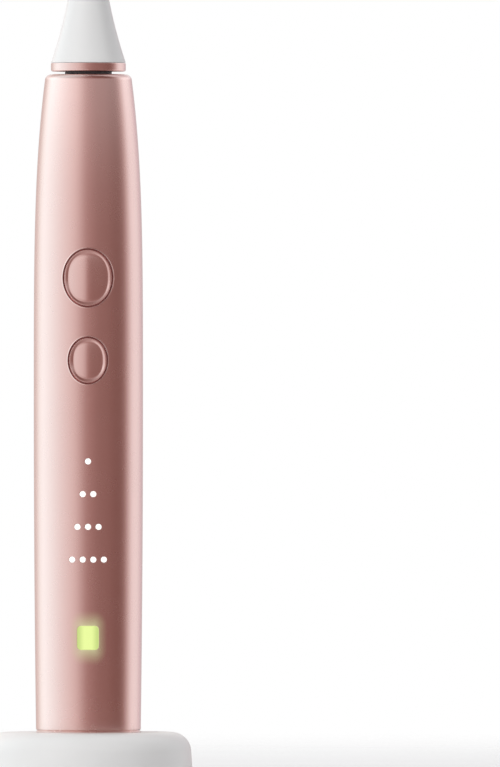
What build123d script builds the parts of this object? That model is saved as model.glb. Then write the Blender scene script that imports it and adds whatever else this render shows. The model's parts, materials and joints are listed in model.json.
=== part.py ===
from build123d import *

import os
from math import cos, pi, sqrt

# Electric toothbrush standing on its charging base, piece by piece, in millimetres.
# +Z is up, the buttons and the bristles face -Y, and the origin is the centre of the base's foot.
# The charging base is stacked from the table up, and the handle from its top down.

# Fits
SLIP = 0.1              # gap round a piece that is put in by hand
RUN = 0.05              # running gap round the drive shaft
SNUG = 0.02             # gap round a piece that is pressed in
TUCK = 0.3              # how far a boss or stem is sunk in the wall that it grows from

# Charging base
CHARGER_R = 27.0
CHARGER_H = 15.0
CHARGER_DRAFT = 1.0     # how far the side leans in towards the top
CHARGER_WALL = 2.0
CHARGER_RIM_R = 5.0     # rounding of the top edge
CHARGER_EDGE_R = 0.8    # rounding of the bottom edge
SEAT_DEPTH = 1.5        # how deep the handle stands in the base
SEAT_CLEAR = 0.6
SEAT_EDGE_R = 0.5
PEG_R = 4.5
PEG_H = 9.0
PEG_WALL = 1.0
PEG_EDGE_R = 1.2
CORNER_R = 0.2          # rounding of small moulded edges and inner corners
COVER_T = 3.0           # bottom cover
FOOT_PROUD = 0.6        # how far the rubber ring stands below the cover
FOOT_GROOVE = 0.6       # how deep it sits in the cover
FOOT_RING_INSET = 0.6   # from the hollow's wall to the rubber ring
FOOT_RING_W = 7.0
BOARD_RIB_R = 11.0      # rib on the cover that carries the round board
BOARD_RIB_W = 1.5
BOARD_RIB_H = 1.0
CHARGER_BOARD_T = 1.2
CHARGER_BOARD_GAP = 0.9     # between the round board and the screw bosses
CHARGER_COIL_R = 8.6
CAPACITOR_R = 2.4
CAPACITOR_GAP = 1.5     # between the capacitor and the ceiling
DRIVER_CHIP = (4.0, 6.0, 1.6)
SCREW_INSET = 4.0       # from the hollow's wall to a screw
SCREW_ANGLES = (30, 150, 270)
SCREW_BOSS_R = 2.6
SCREW_R = 1.0
SCREW_HEAD_R = 1.9
SCREW_HEAD_H = 1.2
SLOT_W = 0.5            # screwdriver slot
SLOT_D = 0.6
SLOT_END = 0.5          # head left at each end of the slot
SCREW_BITE = 5.0        # length of screw in its boss
GLAND_R = 2.6           # cord gland in the rear wall
GLAND_BORE_R = 1.9
GLAND_LIP = 0.4
GLAND_LIP_T = 1.2

# Handle
HANDLE_H = 170.0
GRIP_R = 14.0           # radius where the handle is widest
FOOT_DROP = 0.6         # how much narrower the foot is
TOP_DROP = 3.06         # how much narrower the top is
TAPER_H = 83.5          # height of the taper, down from the top
TAPER_POWER = 3.7       # how late the taper sets in
GRIP_STATIONS = 12      # stretches of the curve that the handle is turned from
WALL = 1.6
TOP_WALL = 2.0
TOP_EDGE_R = 1.6
SEAM = 0.25             # bevel of the edges that meet at the foot's seam

# Foot of the handle
FOOT_T = 2.0
FOOT_EDGE_R = 1.0
SOCKET_CLEAR = 0.35     # round the base's peg
SOCKET_GAP = 0.6        # above the base's peg
SOCKET_WALL = 1.2
PLUG_H = 6.5
PLUG_T = 2.2
SEAL_GROOVE_D = 1.1
SEAL_GROOVE_W = 1.5
RECEIVER_H = 7.0
COIL_GAP = 0.3          # between a coil's flanges and what is round them
BOBBIN_T = 0.7

# Chassis, battery and board
CHASSIS_CLEAR = 0.25
CHASSIS_T = 1.3
FLOOR_T = 1.6
DECK_T = 2.0
CRADLE_H = 8.0          # rim on the deck, round the motor
BATTERY_R = 7.1
BATTERY_L = 49.0
BATTERY_EDGE_R = 0.8
BATTERY_CLEAR = 0.2
NUB_R = 2.6
NUB_H = 0.8
TAB_T = 0.3
TAB_W = 6.0
TAB_LEG = 3.0           # how much of a tab's leg lies behind the board
BULKHEAD_T = 1.6
PAD_T = 0.8
PAD_W = 8.0
PAD_GAP = 1.0           # between the foam and the battery's tabs
BOARD_T = 0.8
BOARD_END = 6.0         # board below the middle of the charge window
BOARD_SCREW_R = 0.75
BOARD_SCREW_HEAD_R = 1.9
BOARD_SCREW_BITE = 5.0
BOARD_BOSS_R = 2.4
BOARD_SCREW_DROP = 11.0     # lower screw, below the mode button
CHIP = (5.0, 1.0, 5.0)

# Leads
LEAD_R = 0.5
LEAD_HOLE = 0.3         # round a lead where it passes through the chassis
LEAD_BEND_R = 1.2
MOTOR_LEAD_X = 1.6
MOTOR_LEAD_REACH = 2.8  # from the back of the board to the motor's leads
MOTOR_LEAD_END = 5.0    # where the motor's leads meet the board, below its top
COIL_LEAD_X = 4.4
COIL_LEAD_RISE = 2.0    # where the winding's leads meet the board, above its end

# Buttons and their switches
POWER_W, POWER_H = 12.9, 15.1
MODE_W, MODE_H = 10.3, 12.2
POWER_DROP = 10.0       # from the motor deck down to the power button
BUTTON_PITCH = 21.1
BUTTON_GAP = 0.4
BUTTON_RIM = 0.25       # flat land round the dish
BUTTON_EDGE_R = 0.2
DISH_D = 0.55           # depth of the dish, and width of its slope
LIP = 0.9               # the flange that keeps a button in
LIP_T = 0.9
STEM_R = 2.0
SWITCH_SIDE = 6.0
SWITCH_T = 1.5
PLUNGER_R = 1.5
PLUNGER_PROUD = 0.5
PLUNGER_DEEP = 0.6
PRESS_TRAVEL = 0.4
BOOT_T = 0.6
BOOT_CLEAR = 0.3

# Lights
MODES = 4
ROWS_DROP = 25.8        # from the mode button down to the first row of lights
ROWS_RISE = 20.0        # from the middle of the charge window up to the last row
PIP_R = 0.75
PIP_PITCH = 2.7
PIP_RECESS = 0.05
GUIDE_T = 1.2
GUIDE_MARGIN = 1.6
LAMP = 1.4
LAMP_T = 0.8
LAMP_GAP = 0.2
WINDOW_W, WINDOW_H = 5.4, 6.0
WINDOW_CORNER_R = 0.9
WINDOW_RISE = 25.8      # from the handle's foot up to the middle of the charge window

# Motor
NOSE_R = 6.0
NOSE_T = 2.5
COLLAR_H = 1.2
COLLAR_EDGE_R = 0.4
NOSE_GROOVE_D = 0.8
MOTOR_CLEAR = 1.4       # between the motor and the shell, at the motor's top
CAN_L = 30.5
CAN_T = 0.7
PLATE_T = 2.0
BUSH_R = 3.0
BUSH_WALL = 1.2
BUSH_BOSS_H = 2.0
BUSH_STEP = 0.6
DAMPER_T = 1.2
DAMPER_W = 3.0
SHAFT_R = 1.75
SHAFT_BEVEL = 0.45
SHAFT_OUT = 21.0        # shaft above the handle
SHAFT_FLAT = 1.25       # from the axis to the flat that turns the brush
FLAT_START = 6.0        # from the handle's top up to the flat
ROTOR_L = 16.0
MAGNET_T = 1.3
MAGNET_GAP = 1.0
AIR_GAP = 0.4
STATOR_GAP = 1.0        # from the spool to the spring and to the front plate
STATOR_COIL_T = 1.5
SPRING_T = 0.5
SPRING_RIM = 1.0
SPRING_HUB = 1.2
SPRING_ARM_W = 1.2
SPRING_ARMS = 3
SPRING_RISE = 1.0       # above the rear bush
SHAFT_SEAL_R = 3.9
SHAFT_SEAL_H = 2.6
SHAFT_SEAL_LIP = 0.8

# Brush head
HEAD_GAP = 0.7          # between the handle and the brush head
HEAD_BASE_R = 9.6
HEAD_RING_H = 2.2
HEAD_SKIRT_T = 0.8
HEAD_RING_EDGE_R = 0.5
HEAD_CAVITY_CLEAR = 0.6     # round the handle's collar
HEAD_CAVITY_H = 9.0
HEAD_L = 72.5
NECK_R = 3.3
NECK_L = 38.0
NECK_POWER = 1.9        # how soon the neck thins above its base
NECK_STATIONS = 5       # stretches of the curve that the neck is lofted through
HEAD_W = 12.2
HEAD_H = 29.0
HEAD_T = 5.4
HEAD_POWER = 2.6        # squareness of the head's outline
HEAD_TIP_THIN = 0.6     # share of the head's thickness that is gone at its tip
HEAD_STATIONS = (-0.62, -0.2, 0.25, 0.68, 0.9, 0.985)   # from the head's root at -1 to its tip at 1
HEAD_FACE = 1.7         # from the axis forward to the flat that holds the bristles
INSERT_R = 3.2
INSERT_FLANGE_T = 1.2
INSERT_ROOF = 1.5       # insert above the shaft's end
BRISTLE_BACK_T = 0.8
BRISTLE_MARGIN = 1.1    # flat left round the bristles' backing
TUFT_PITCH_X = 2.0
TUFT_PITCH_Z = 2.15
TUFT_EDGE = 0.9         # from a tuft's middle to the edge of the backing
STRANDS_ACROSS = 3
STRAND_PITCH = 0.46
STRAND_T = 0.28
BRISTLE_L = 9.6
BRISTLE_WAVE = 0.8      # how much longer the end rows are

# Heights of the charging base
RIM_Z = CHARGER_H
SEAT_Z = CHARGER_H - SEAT_DEPTH
CEILING_Z = SEAT_Z - CHARGER_WALL
PEG_TOP = SEAT_Z + PEG_H
COVER_Z = FOOT_PROUD
COVER_TOP = COVER_Z + COVER_T
CHARGER_BOARD_Z = COVER_TOP + BOARD_RIB_H
CHARGER_BOARD_TOP = CHARGER_BOARD_Z + CHARGER_BOARD_T
GLAND_Z = (COVER_TOP + CEILING_Z) / 2
HOLLOW_R = CHARGER_R - CHARGER_DRAFT - CHARGER_WALL
FOOT_RING_R = HOLLOW_R - FOOT_RING_INSET
SCREW_CIRCLE_R = HOLLOW_R - SCREW_INSET
CHARGER_BOARD_R = SCREW_CIRCLE_R - SCREW_BOSS_R - CHARGER_BOARD_GAP
CHIP_CIRCLE_R = (CHARGER_COIL_R + CHARGER_BOARD_R) / 2
CORE_R = PEG_R - PEG_WALL - SLIP

# Heights of the handle, from its ends
FOOT_Z = SEAT_Z
HANDLE_TOP = FOOT_Z + HANDLE_H
GRIP_Z = HANDLE_TOP - TAPER_H
SHELL_Z = FOOT_Z + FOOT_T
SOCKET_R = PEG_R + SOCKET_CLEAR
SOCKET_TUBE_R = SOCKET_R + SOCKET_WALL
SOCKET_TOP = FOOT_Z + PEG_H + SOCKET_GAP
FLOOR_Z = SOCKET_TOP + SOCKET_WALL
FLOOR_TOP = FLOOR_Z + FLOOR_T
NOSE_UNDER = HANDLE_TOP - TOP_WALL
MOTOR_TOP = NOSE_UNDER - NOSE_T
MOTOR_Z = MOTOR_TOP - CAN_L - 2 * PLATE_T
SPRING_Z = MOTOR_Z + PLATE_T + BUSH_BOSS_H + SPRING_RISE
STATOR_Z = SPRING_Z + SPRING_T + STATOR_GAP
STATOR_TOP = MOTOR_TOP - PLATE_T - STATOR_GAP
ROTOR_MID = (STATOR_Z + STATOR_TOP) / 2
DECK_TOP = MOTOR_Z - DAMPER_T
DECK_Z = DECK_TOP - DECK_T
POWER_Z = DECK_Z - POWER_DROP
MODE_Z = POWER_Z - BUTTON_PITCH
WINDOW_Z = FOOT_Z + WINDOW_RISE
ROW_PITCH = (MODE_Z - ROWS_DROP - WINDOW_Z - ROWS_RISE) / (MODES - 1)
ROW_Z = [MODE_Z - ROWS_DROP - row * ROW_PITCH for row in range(MODES)]
BOARD_Z = WINDOW_Z - BOARD_END
BOARD_TOP = DECK_Z - TUCK
BATTERY_Z = FLOOR_TOP + TAB_T
BATTERY_TOP = BATTERY_Z + BATTERY_L + NUB_H
BULKHEAD_Z = BATTERY_TOP + TAB_T
BOARD_SCREW_Z = ((POWER_Z + MODE_Z) / 2, MODE_Z - BOARD_SCREW_DROP)
CHIP_Z = (BOARD_SCREW_Z[1] + ROW_Z[0]) / 2
SHAFT_END = HANDLE_TOP + SHAFT_OUT
HEAD_Z = HANDLE_TOP + HEAD_GAP
INSERT_Z = HEAD_Z + HEAD_CAVITY_H - INSERT_FLANGE_T
INSERT_TOP = SHAFT_END + SLIP + INSERT_ROOF
BRISTLE_Z = HEAD_Z + HEAD_L - HEAD_H / 2 + BRISTLE_MARGIN / 2


def handle_radius(z):
    """Outer radius of the handle: widest at GRIP_Z, drawn in at the foot and tapered to the top."""
    if z >= GRIP_Z:
        return GRIP_R - TOP_DROP * ((z - GRIP_Z) / TAPER_H) ** TAPER_POWER
    return GRIP_R - FOOT_DROP * ((GRIP_Z - z) / (GRIP_Z - FOOT_Z)) ** 2


# Depths in the handle, from the battery forward
CHASSIS_R = min(handle_radius(FLOOR_TOP), handle_radius(DECK_Z)) - WALL - CHASSIS_CLEAR
BATTERY_Y = CHASSIS_R - CHASSIS_T - BATTERY_R - BATTERY_CLEAR
BOARD_BACK = BATTERY_Y - BATTERY_R - PAD_T
BOARD_FRONT = BOARD_BACK - BOARD_T
BOARD_W = 2 * (sqrt(CHASSIS_R**2 - BOARD_FRONT**2) - TUCK)
LAMP_FRONT = BOARD_FRONT - LAMP_T - LAMP_GAP
SWITCH_FRONT = BOARD_FRONT - SWITCH_T
PLUNGER_FRONT = SWITCH_FRONT - PLUNGER_PROUD
BOOT_FRONT = PLUNGER_FRONT - BOOT_T
COIL_LEAD_Y = BOARD_FRONT - LEAD_BEND_R - LEAD_R
MOTOR_LEAD_Y = BOARD_BACK + MOTOR_LEAD_REACH
REACH = -2 * GRIP_R     # a depth in front of the handle

# Radii in the motor, the foot and the brush head
MOTOR_R = handle_radius(MOTOR_TOP) - WALL - MOTOR_CLEAR
CAN_BORE_R = MOTOR_R - CAN_T
STATOR_COIL_R = CAN_BORE_R - COIL_GAP
STATOR_R = STATOR_COIL_R - STATOR_COIL_T - SNUG - BOBBIN_T
MAGNET_R = STATOR_R - AIR_GAP
ROTOR_R = MAGNET_R - MAGNET_T - SNUG
HEAD_CAVITY_R = NOSE_R + HEAD_CAVITY_CLEAR
PLUG_R = handle_radius(SHELL_Z) - WALL - SLIP
RECEIVER_R = PLUG_R - PLUG_T - COIL_GAP


def disc(radius, low, high, bore=0.0):
    """Round plate about Z between two heights, or a ring where it has a bore."""
    solid = Cylinder(radius, high - low)
    if bore:
        solid -= Cylinder(bore, high - low)
    return Pos(0, 0, (low + high) / 2) * solid


def turned(*corners):
    """Solid of revolution about Z, from corners of (radius, height, rounding)."""
    outline = FilletPolyline(*[c[:2] for c in corners], radius=[c[2] for c in corners], close=True)
    return revolve(Plane.XZ * make_face(outline), Axis.Z)


def bobbin(bore, hub, flange, low, high):
    """Spool for a winding: a thin hub with a flange at each end."""
    spool = disc(hub, low, high, bore) + disc(flange, low, low + BOBBIN_T, bore)
    return spool + disc(flange, high - BOBBIN_T, high, bore)


def grip_solid(inset, low, high):
    """The handle's outer form, smaller by inset all round, between two heights."""
    heights = [low + (high - low) * i / GRIP_STATIONS for i in range(GRIP_STATIONS + 1)]
    side = Spline(*[(handle_radius(z) - inset, z) for z in heights])
    outline = side + Polyline(side @ 1, (0, high), (0, low), side @ 0)
    return revolve(Plane.XZ * make_face(outline), Axis.Z)


def pushed(outline, front, back, z=0.0):
    """Outline in the front view, centred on the axis at height z, pushed along Y between two depths."""
    return extrude(Plane.XZ.offset(-back) * Pos(0, z) * outline, back - front)


def slab(width, height, front, back, z):
    """Square-cornered block, centred on the axis at height z, between two depths."""
    return pushed(Rectangle(width, height), front, back, z)


def rod(radius, front, back, z, x=0.0):
    """Round rod along Y between two depths, with its seam at its top."""
    return pushed(Pos(x, 0) * Rot(0, 0, 90) * Circle(radius), front, back, z)


def pip_places():
    """Places (x, z) of the lights: one in the first row, two in the second, and so on."""
    return [((i - row / 2) * PIP_PITCH, z) for row, z in enumerate(ROW_Z) for i in range(row + 1)]


def on_screw_circle(piece):
    """A copy of the piece at each of the base's screws."""
    return [Rot(0, 0, angle) * Pos(SCREW_CIRCLE_R, 0, 0) * piece for angle in SCREW_ANGLES]


# Charging base

def charger_top():
    """Upper shell with the handle's seat, the peg, the screw bosses and the hole for the cord gland."""
    shell = turned(
        (0, COVER_Z, 0),
        (CHARGER_R, COVER_Z, CHARGER_EDGE_R),
        (CHARGER_R - CHARGER_DRAFT, RIM_Z, CHARGER_RIM_R),
        (handle_radius(FOOT_Z) + SEAT_CLEAR, RIM_Z, SEAT_EDGE_R),
        (handle_radius(FOOT_Z) + SEAT_CLEAR, SEAT_Z, CORNER_R),
        (PEG_R, SEAT_Z, CORNER_R),
        (PEG_R, PEG_TOP, PEG_EDGE_R),
        (0, PEG_TOP, 0),
    )
    shell -= turned(
        (0, COVER_Z, 0),
        (HOLLOW_R, COVER_Z, 0),
        (HOLLOW_R, CEILING_Z, CORNER_R),
        (PEG_R - PEG_WALL, CEILING_Z, 0),
        (PEG_R - PEG_WALL, PEG_TOP - PEG_WALL, CORNER_R),
        (0, PEG_TOP - PEG_WALL, 0),
    )
    bosses = on_screw_circle(disc(SCREW_BOSS_R, COVER_TOP, CEILING_Z + TUCK))
    pilots = on_screw_circle(disc(SCREW_R + SNUG, COVER_TOP, COVER_TOP + SCREW_BITE + SLIP))
    shell += bosses
    shell -= pilots
    return shell - rod(GLAND_R + RUN, 0, CHARGER_R, GLAND_Z)


def charger_cover():
    """Bottom cover with the groove for the rubber ring, the screw holes and the rib under the board."""
    cover = disc(HOLLOW_R - SLIP, COVER_Z, COVER_TOP)
    cover += disc(BOARD_RIB_R + BOARD_RIB_W, COVER_TOP, CHARGER_BOARD_Z, BOARD_RIB_R)
    groove_top = COVER_Z + FOOT_GROOVE
    ring_bore = FOOT_RING_R - FOOT_RING_W
    cover -= disc(FOOT_RING_R + SLIP, COVER_Z, groove_top, ring_bore - SLIP)
    head_room = disc(SCREW_HEAD_R + SLIP, groove_top, groove_top + SLIP + SCREW_HEAD_H)
    cover -= on_screw_circle(head_room + disc(SCREW_R + SLIP, groove_top, COVER_TOP))
    return cover


def charger_foot():
    """Rubber ring that the base stands on."""
    bore = FOOT_RING_R - FOOT_RING_W
    top = COVER_Z + FOOT_GROOVE
    return turned(
        (bore, 0, CORNER_R), (FOOT_RING_R, 0, CORNER_R), (FOOT_RING_R, top, 0), (bore, top, 0)
    )


def charger_screws():
    """Screws that hold the cover, with their heads above the rubber ring."""
    head_z = COVER_Z + FOOT_GROOVE + SLIP
    shank = disc(SCREW_R, head_z, COVER_TOP + SCREW_BITE)
    slot = Pos(0, 0, head_z) * Box(2 * (SCREW_HEAD_R - SLOT_END), SLOT_W, 2 * SLOT_D)
    screw = disc(SCREW_HEAD_R, head_z, head_z + SCREW_HEAD_H) + shank - slot
    return Compound(children=on_screw_circle(screw))


def charger_core():
    """Ferrite rod in the peg."""
    return disc(CORE_R, CHARGER_BOARD_TOP, PEG_TOP - PEG_WALL - COIL_GAP)


def charger_bobbin():
    """Spool round the foot of the ferrite rod."""
    bore = CORE_R + RUN
    return bobbin(bore, bore + BOBBIN_T, CHARGER_COIL_R, CHARGER_BOARD_TOP, CEILING_Z - SLIP)


def charger_coil():
    """Sending winding."""
    hub = CORE_R + RUN + BOBBIN_T + SNUG
    low = CHARGER_BOARD_TOP + BOBBIN_T + SNUG
    return disc(CHARGER_COIL_R - COIL_GAP, low, CEILING_Z - SLIP - BOBBIN_T - SNUG, hub)


def charger_board():
    """Round circuit board."""
    return disc(CHARGER_BOARD_R, CHARGER_BOARD_Z, CHARGER_BOARD_TOP)


def charger_chips():
    """Capacitor and driver chip on the round board."""
    wide, deep, high = DRIVER_CHIP
    capacitor = disc(CAPACITOR_R, CHARGER_BOARD_TOP, CEILING_Z - CAPACITOR_GAP)
    chip = Pos(0, 0, CHARGER_BOARD_TOP + high / 2) * Box(wide, deep, high)
    return Compound(children=[Pos(CHIP_CIRCLE_R, 0, 0) * capacitor, Pos(-CHIP_CIRCLE_R, 0, 0) * chip])


def cord_gland():
    """Rubber gland in the rear wall, open for the supply cord."""
    lip_r = GLAND_R + GLAND_LIP
    lip_back = sqrt(HOLLOW_R**2 - lip_r**2) - RUN
    gland = rod(lip_r, lip_back - GLAND_LIP_T, lip_back, GLAND_Z)
    gland += rod(GLAND_R, lip_back - GLAND_LIP_T, CHARGER_R - SLIP, GLAND_Z)
    return gland - rod(GLAND_BORE_R, 0, CHARGER_R, GLAND_Z)


# Foot of the handle

def foot_cap():
    """Cap that closes the handle, with the plug that fills the shell and the socket for the peg."""
    flange = grip_solid(0, FOOT_Z, SHELL_Z)
    rims = flange.edges().filter_by(GeomType.CIRCLE).sort_by(Axis.Z)
    flange = chamfer(rims[-1], SEAM)
    flange = fillet(flange.edges().filter_by(GeomType.CIRCLE).sort_by(Axis.Z)[0], FOOT_EDGE_R)
    cap = flange + disc(PLUG_R, SHELL_Z, SHELL_Z + PLUG_H, PLUG_R - PLUG_T)
    cap += disc(SOCKET_TUBE_R, SHELL_Z, FLOOR_Z)
    cap -= disc(SOCKET_R, FOOT_Z, SOCKET_TOP)
    groove_z = SHELL_Z + (PLUG_H - SEAL_GROOVE_W) / 2
    return cap - disc(PLUG_R, groove_z, groove_z + SEAL_GROOVE_W, PLUG_R - SEAL_GROOVE_D)


def ring_seal(groove_r, outer_r, z):
    """Round rubber ring between the bottom of a groove and the wall outside it."""
    thickness = outer_r - groove_r - 2 * SNUG
    return Pos(0, 0, z) * Torus(groove_r + SNUG + thickness / 2, thickness / 2)


def foot_seal():
    """Rubber ring round the plug."""
    return ring_seal(PLUG_R - SEAL_GROOVE_D, PLUG_R + SLIP, SHELL_Z + PLUG_H / 2)


def receiver_bobbin():
    """Spool round the peg's socket."""
    bore = SOCKET_TUBE_R + SLIP
    return bobbin(bore, bore + BOBBIN_T, RECEIVER_R, SHELL_Z, SHELL_Z + RECEIVER_H)


def receiver_coil():
    """Receiving winding."""
    hub = SOCKET_TUBE_R + SLIP + BOBBIN_T + SNUG
    low = SHELL_Z + BOBBIN_T + SNUG
    return disc(RECEIVER_R - COIL_GAP, low, SHELL_Z + RECEIVER_H - BOBBIN_T - SNUG, hub)


# Shell and buttons

def handle_shell():
    """One-piece casing with the holes for the buttons, the lights and the nose."""
    body = grip_solid(0, SHELL_Z, HANDLE_TOP)
    body = fillet(body.edges().filter_by(GeomType.CIRCLE).sort_by(Axis.Z)[-1], TOP_EDGE_R)
    body = chamfer(body.edges().filter_by(GeomType.CIRCLE).sort_by(Axis.Z)[0], SEAM)
    for wide, high, z in ((POWER_W, POWER_H, POWER_Z), (MODE_W, MODE_H, MODE_Z)):
        body -= pushed(Ellipse(wide / 2, high / 2), REACH, 0, z)
        rim = body.edges().filter_by(Axis.Y, reverse=True).sort_by_distance((0, -GRIP_R, z + high / 2))
        body = fillet(rim[0], BUTTON_EDGE_R)
    body -= grip_solid(WALL, SHELL_Z, NOSE_UNDER)
    body -= disc(NOSE_R + SLIP, NOSE_UNDER, HANDLE_TOP)
    holes = [pushed(window_outline(RUN), REACH, 0, WINDOW_Z)]
    holes += [rod(PIP_R + RUN, REACH, 0, z, x) for x, z in pip_places()]
    return body - holes


def button(wide, high, z):
    """Dished key with a flange behind the shell and a stem that reaches the switch."""
    low, top = z - high, z + high
    back = WALL + SLIP + LIP_T
    face = Ellipse(wide / 2 - BUTTON_GAP, high / 2 - BUTTON_GAP)
    rim = BUTTON_GAP + BUTTON_RIM + DISH_D
    key = pushed(face, REACH, 0, z) & grip_solid(0, low, top)
    key -= pushed(Ellipse(wide / 2 - rim, high / 2 - rim), REACH, 0, z) - grip_solid(DISH_D, low, top)
    brink = key.edges().sort_by_distance((0, -GRIP_R, z + high / 2 - rim))[0]
    key = chamfer(brink, DISH_D - SNUG)
    brink = key.edges().sort_by_distance((0, -GRIP_R, z + high / 2 - BUTTON_GAP))[0]
    key = fillet(brink, BUTTON_EDGE_R)
    key -= grip_solid(back, low, top)
    flange = pushed(Ellipse(wide / 2 + LIP, high / 2 + LIP), REACH, 0, z)
    flange &= grip_solid(WALL + SLIP, low, top) - grip_solid(back, low, top)
    stem = rod(STEM_R, -(handle_radius(z) - back) - TUCK, BOOT_FRONT, z)
    return key + flange + stem


def power_button():
    """Upper, larger key."""
    return button(POWER_W, POWER_H, POWER_Z)


def mode_button():
    """Lower, smaller key."""
    return button(MODE_W, MODE_H, MODE_Z)


def switch_plunger(z):
    """Pin of a push switch."""
    return rod(PLUNGER_R, PLUNGER_FRONT, SWITCH_FRONT + PLUNGER_DEEP, z)


def switch_bodies():
    """Both push switches, each with the well that its pin sinks into."""
    well = SWITCH_FRONT + PLUNGER_DEEP + PRESS_TRAVEL + SLIP
    switches = [
        slab(SWITCH_SIDE, SWITCH_SIDE, SWITCH_FRONT, BOARD_FRONT, z)
        - rod(PLUNGER_R + RUN, SWITCH_FRONT, well, z)
        for z in (POWER_Z, MODE_Z)
    ]
    return Compound(children=switches)


def switch_boot(z):
    """Silicone cup over a push switch, pressed by the button's stem."""
    inside = SWITCH_SIDE + 2 * BOOT_CLEAR
    outside = inside + 2 * BOOT_T
    cup = pushed(RectangleRounded(outside, outside, 2 * BOOT_T), BOOT_FRONT, BOARD_FRONT, z)
    return cup - slab(inside, inside, PLUNGER_FRONT, BOARD_FRONT, z)


# Lights

def window_outline(grow):
    """Front view of the charge window."""
    return RectangleRounded(WINDOW_W + 2 * grow, WINDOW_H + 2 * grow, WINDOW_CORNER_R + grow)


def charge_window():
    """Clear block over the charge light, flush with the shell and flanged behind it."""
    low, top = WINDOW_Z - WINDOW_H, WINDOW_Z + WINDOW_H
    block = pushed(window_outline(0), REACH, LAMP_FRONT, WINDOW_Z) & grip_solid(PIP_RECESS, low, top)
    flange = pushed(window_outline(LIP), REACH, 0, WINDOW_Z)
    flange &= grip_solid(WALL + RUN, low, top) - grip_solid(WALL + RUN + LIP_T, low, top)
    return block + flange


def mode_light_guide():
    """Clear plate over the mode lights, with a finger through the shell for each light."""
    front = LAMP_FRONT - GUIDE_T
    middle, height = (ROW_Z[0] + ROW_Z[-1]) / 2, ROW_Z[0] - ROW_Z[-1] + 2 * GUIDE_MARGIN
    width = (MODES - 1) * PIP_PITCH + 2 * GUIDE_MARGIN
    guide = slab(width, height, front, LAMP_FRONT, middle)
    for side in (-1, 1):
        guide += slab(width, GUIDE_T, front, BOARD_FRONT, middle + side * (height + GUIDE_T) / 2)
    fingers = [rod(PIP_R, REACH, front + TUCK, z, x) for x, z in pip_places()]
    ends = grip_solid(PIP_RECESS, ROW_Z[-1] - ROW_PITCH, ROW_Z[0] + ROW_PITCH)
    return guide + [finger & ends for finger in fingers]


def mode_lamps():
    """A light behind each row."""
    return Compound(children=[slab(LAMP, LAMP, BOARD_FRONT - LAMP_T, BOARD_FRONT, z) for z in ROW_Z])


def charge_lamp():
    """The light behind the charge window."""
    return slab(LAMP, LAMP, BOARD_FRONT - LAMP_T, BOARD_FRONT, WINDOW_Z)


# Chassis, battery and board

def chassis():
    """Inner frame: floor, rear wall, battery bulkhead, board bosses, motor deck and motor cradle."""
    skin = WALL + CHASSIS_CLEAR
    frame = grip_solid(skin, FLOOR_Z, DECK_TOP)
    frame -= grip_solid(skin + CHASSIS_T, FLOOR_TOP, DECK_Z)
    opening = slab(4 * GRIP_R, DECK_Z - FLOOR_TOP, REACH, BOARD_BACK, (DECK_Z + FLOOR_TOP) / 2)
    frame -= opening
    frame += grip_solid(skin + TUCK, BULKHEAD_Z, BULKHEAD_Z + BULKHEAD_T) - opening
    for z in BOARD_SCREW_Z:
        frame += rod(BOARD_BOSS_R, BOARD_BACK, CHASSIS_R - CHASSIS_T + TUCK, z)
        frame -= rod(BOARD_SCREW_R + SNUG, BOARD_BACK, BOARD_BACK + BOARD_SCREW_BITE + SLIP, z)
    hole_r = LEAD_R + LEAD_HOLE
    for side in (-1, 1):
        frame -= Pos(side * MOTOR_LEAD_X, MOTOR_LEAD_Y, 0) * disc(hole_r, DECK_Z, DECK_TOP)
        frame -= Pos(side * COIL_LEAD_X, COIL_LEAD_Y, 0) * disc(hole_r, FLOOR_Z, FLOOR_TOP)
    cradle_bore = MOTOR_R + SLIP
    return frame + disc(cradle_bore + CHASSIS_T, DECK_TOP, DECK_TOP + CRADLE_H, cradle_bore)


def battery_cell():
    """Round rechargeable cell with its raised contact."""
    top = BATTERY_Z + BATTERY_L
    edge = BATTERY_EDGE_R
    can = turned(
        (0, BATTERY_Z, 0), (BATTERY_R, BATTERY_Z, edge), (BATTERY_R, top, edge), (0, top, 0)
    )
    return Pos(0, BATTERY_Y, 0) * (can + disc(NUB_R, top, BATTERY_TOP))


def battery_tabs():
    """Bent metal strips at both ends of the cell, each with a leg behind the board."""
    leg_front = BATTERY_Y - BATTERY_R - 2 * TAB_T
    strips = []
    for low, leg_end in ((FLOOR_TOP, BOARD_Z + TAB_LEG), (BATTERY_TOP, BATTERY_TOP - TAB_LEG)):
        strip = slab(TAB_W, TAB_T, leg_front, BATTERY_Y + TAB_W / 2, low + TAB_T / 2)
        ends = sorted((leg_end, low + TAB_T / 2))
        leg = slab(TAB_W, ends[1] - ends[0], leg_front, leg_front + TAB_T, sum(ends) / 2)
        strips.append(strip + leg)
    return Compound(children=strips)


def battery_pad():
    """Foam between the cell and the board."""
    low, top = BOARD_Z + TAB_LEG + PAD_GAP, BATTERY_TOP - TAB_LEG - PAD_GAP
    back = BATTERY_Y - sqrt(BATTERY_R**2 - PAD_W**2 / 4)
    pad = slab(PAD_W, top - low, BOARD_BACK, back, (low + top) / 2)
    return pad - Pos(0, BATTERY_Y, 0) * disc(BATTERY_R + SNUG, BATTERY_Z, BATTERY_TOP)


def main_board():
    """Long circuit board in front of the cell."""
    board = slab(BOARD_W, BOARD_TOP - BOARD_Z, BOARD_FRONT, BOARD_BACK, (BOARD_TOP + BOARD_Z) / 2)
    return board - [rod(BOARD_SCREW_R + SLIP, BOARD_FRONT, BOARD_BACK, z) for z in BOARD_SCREW_Z]


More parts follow.
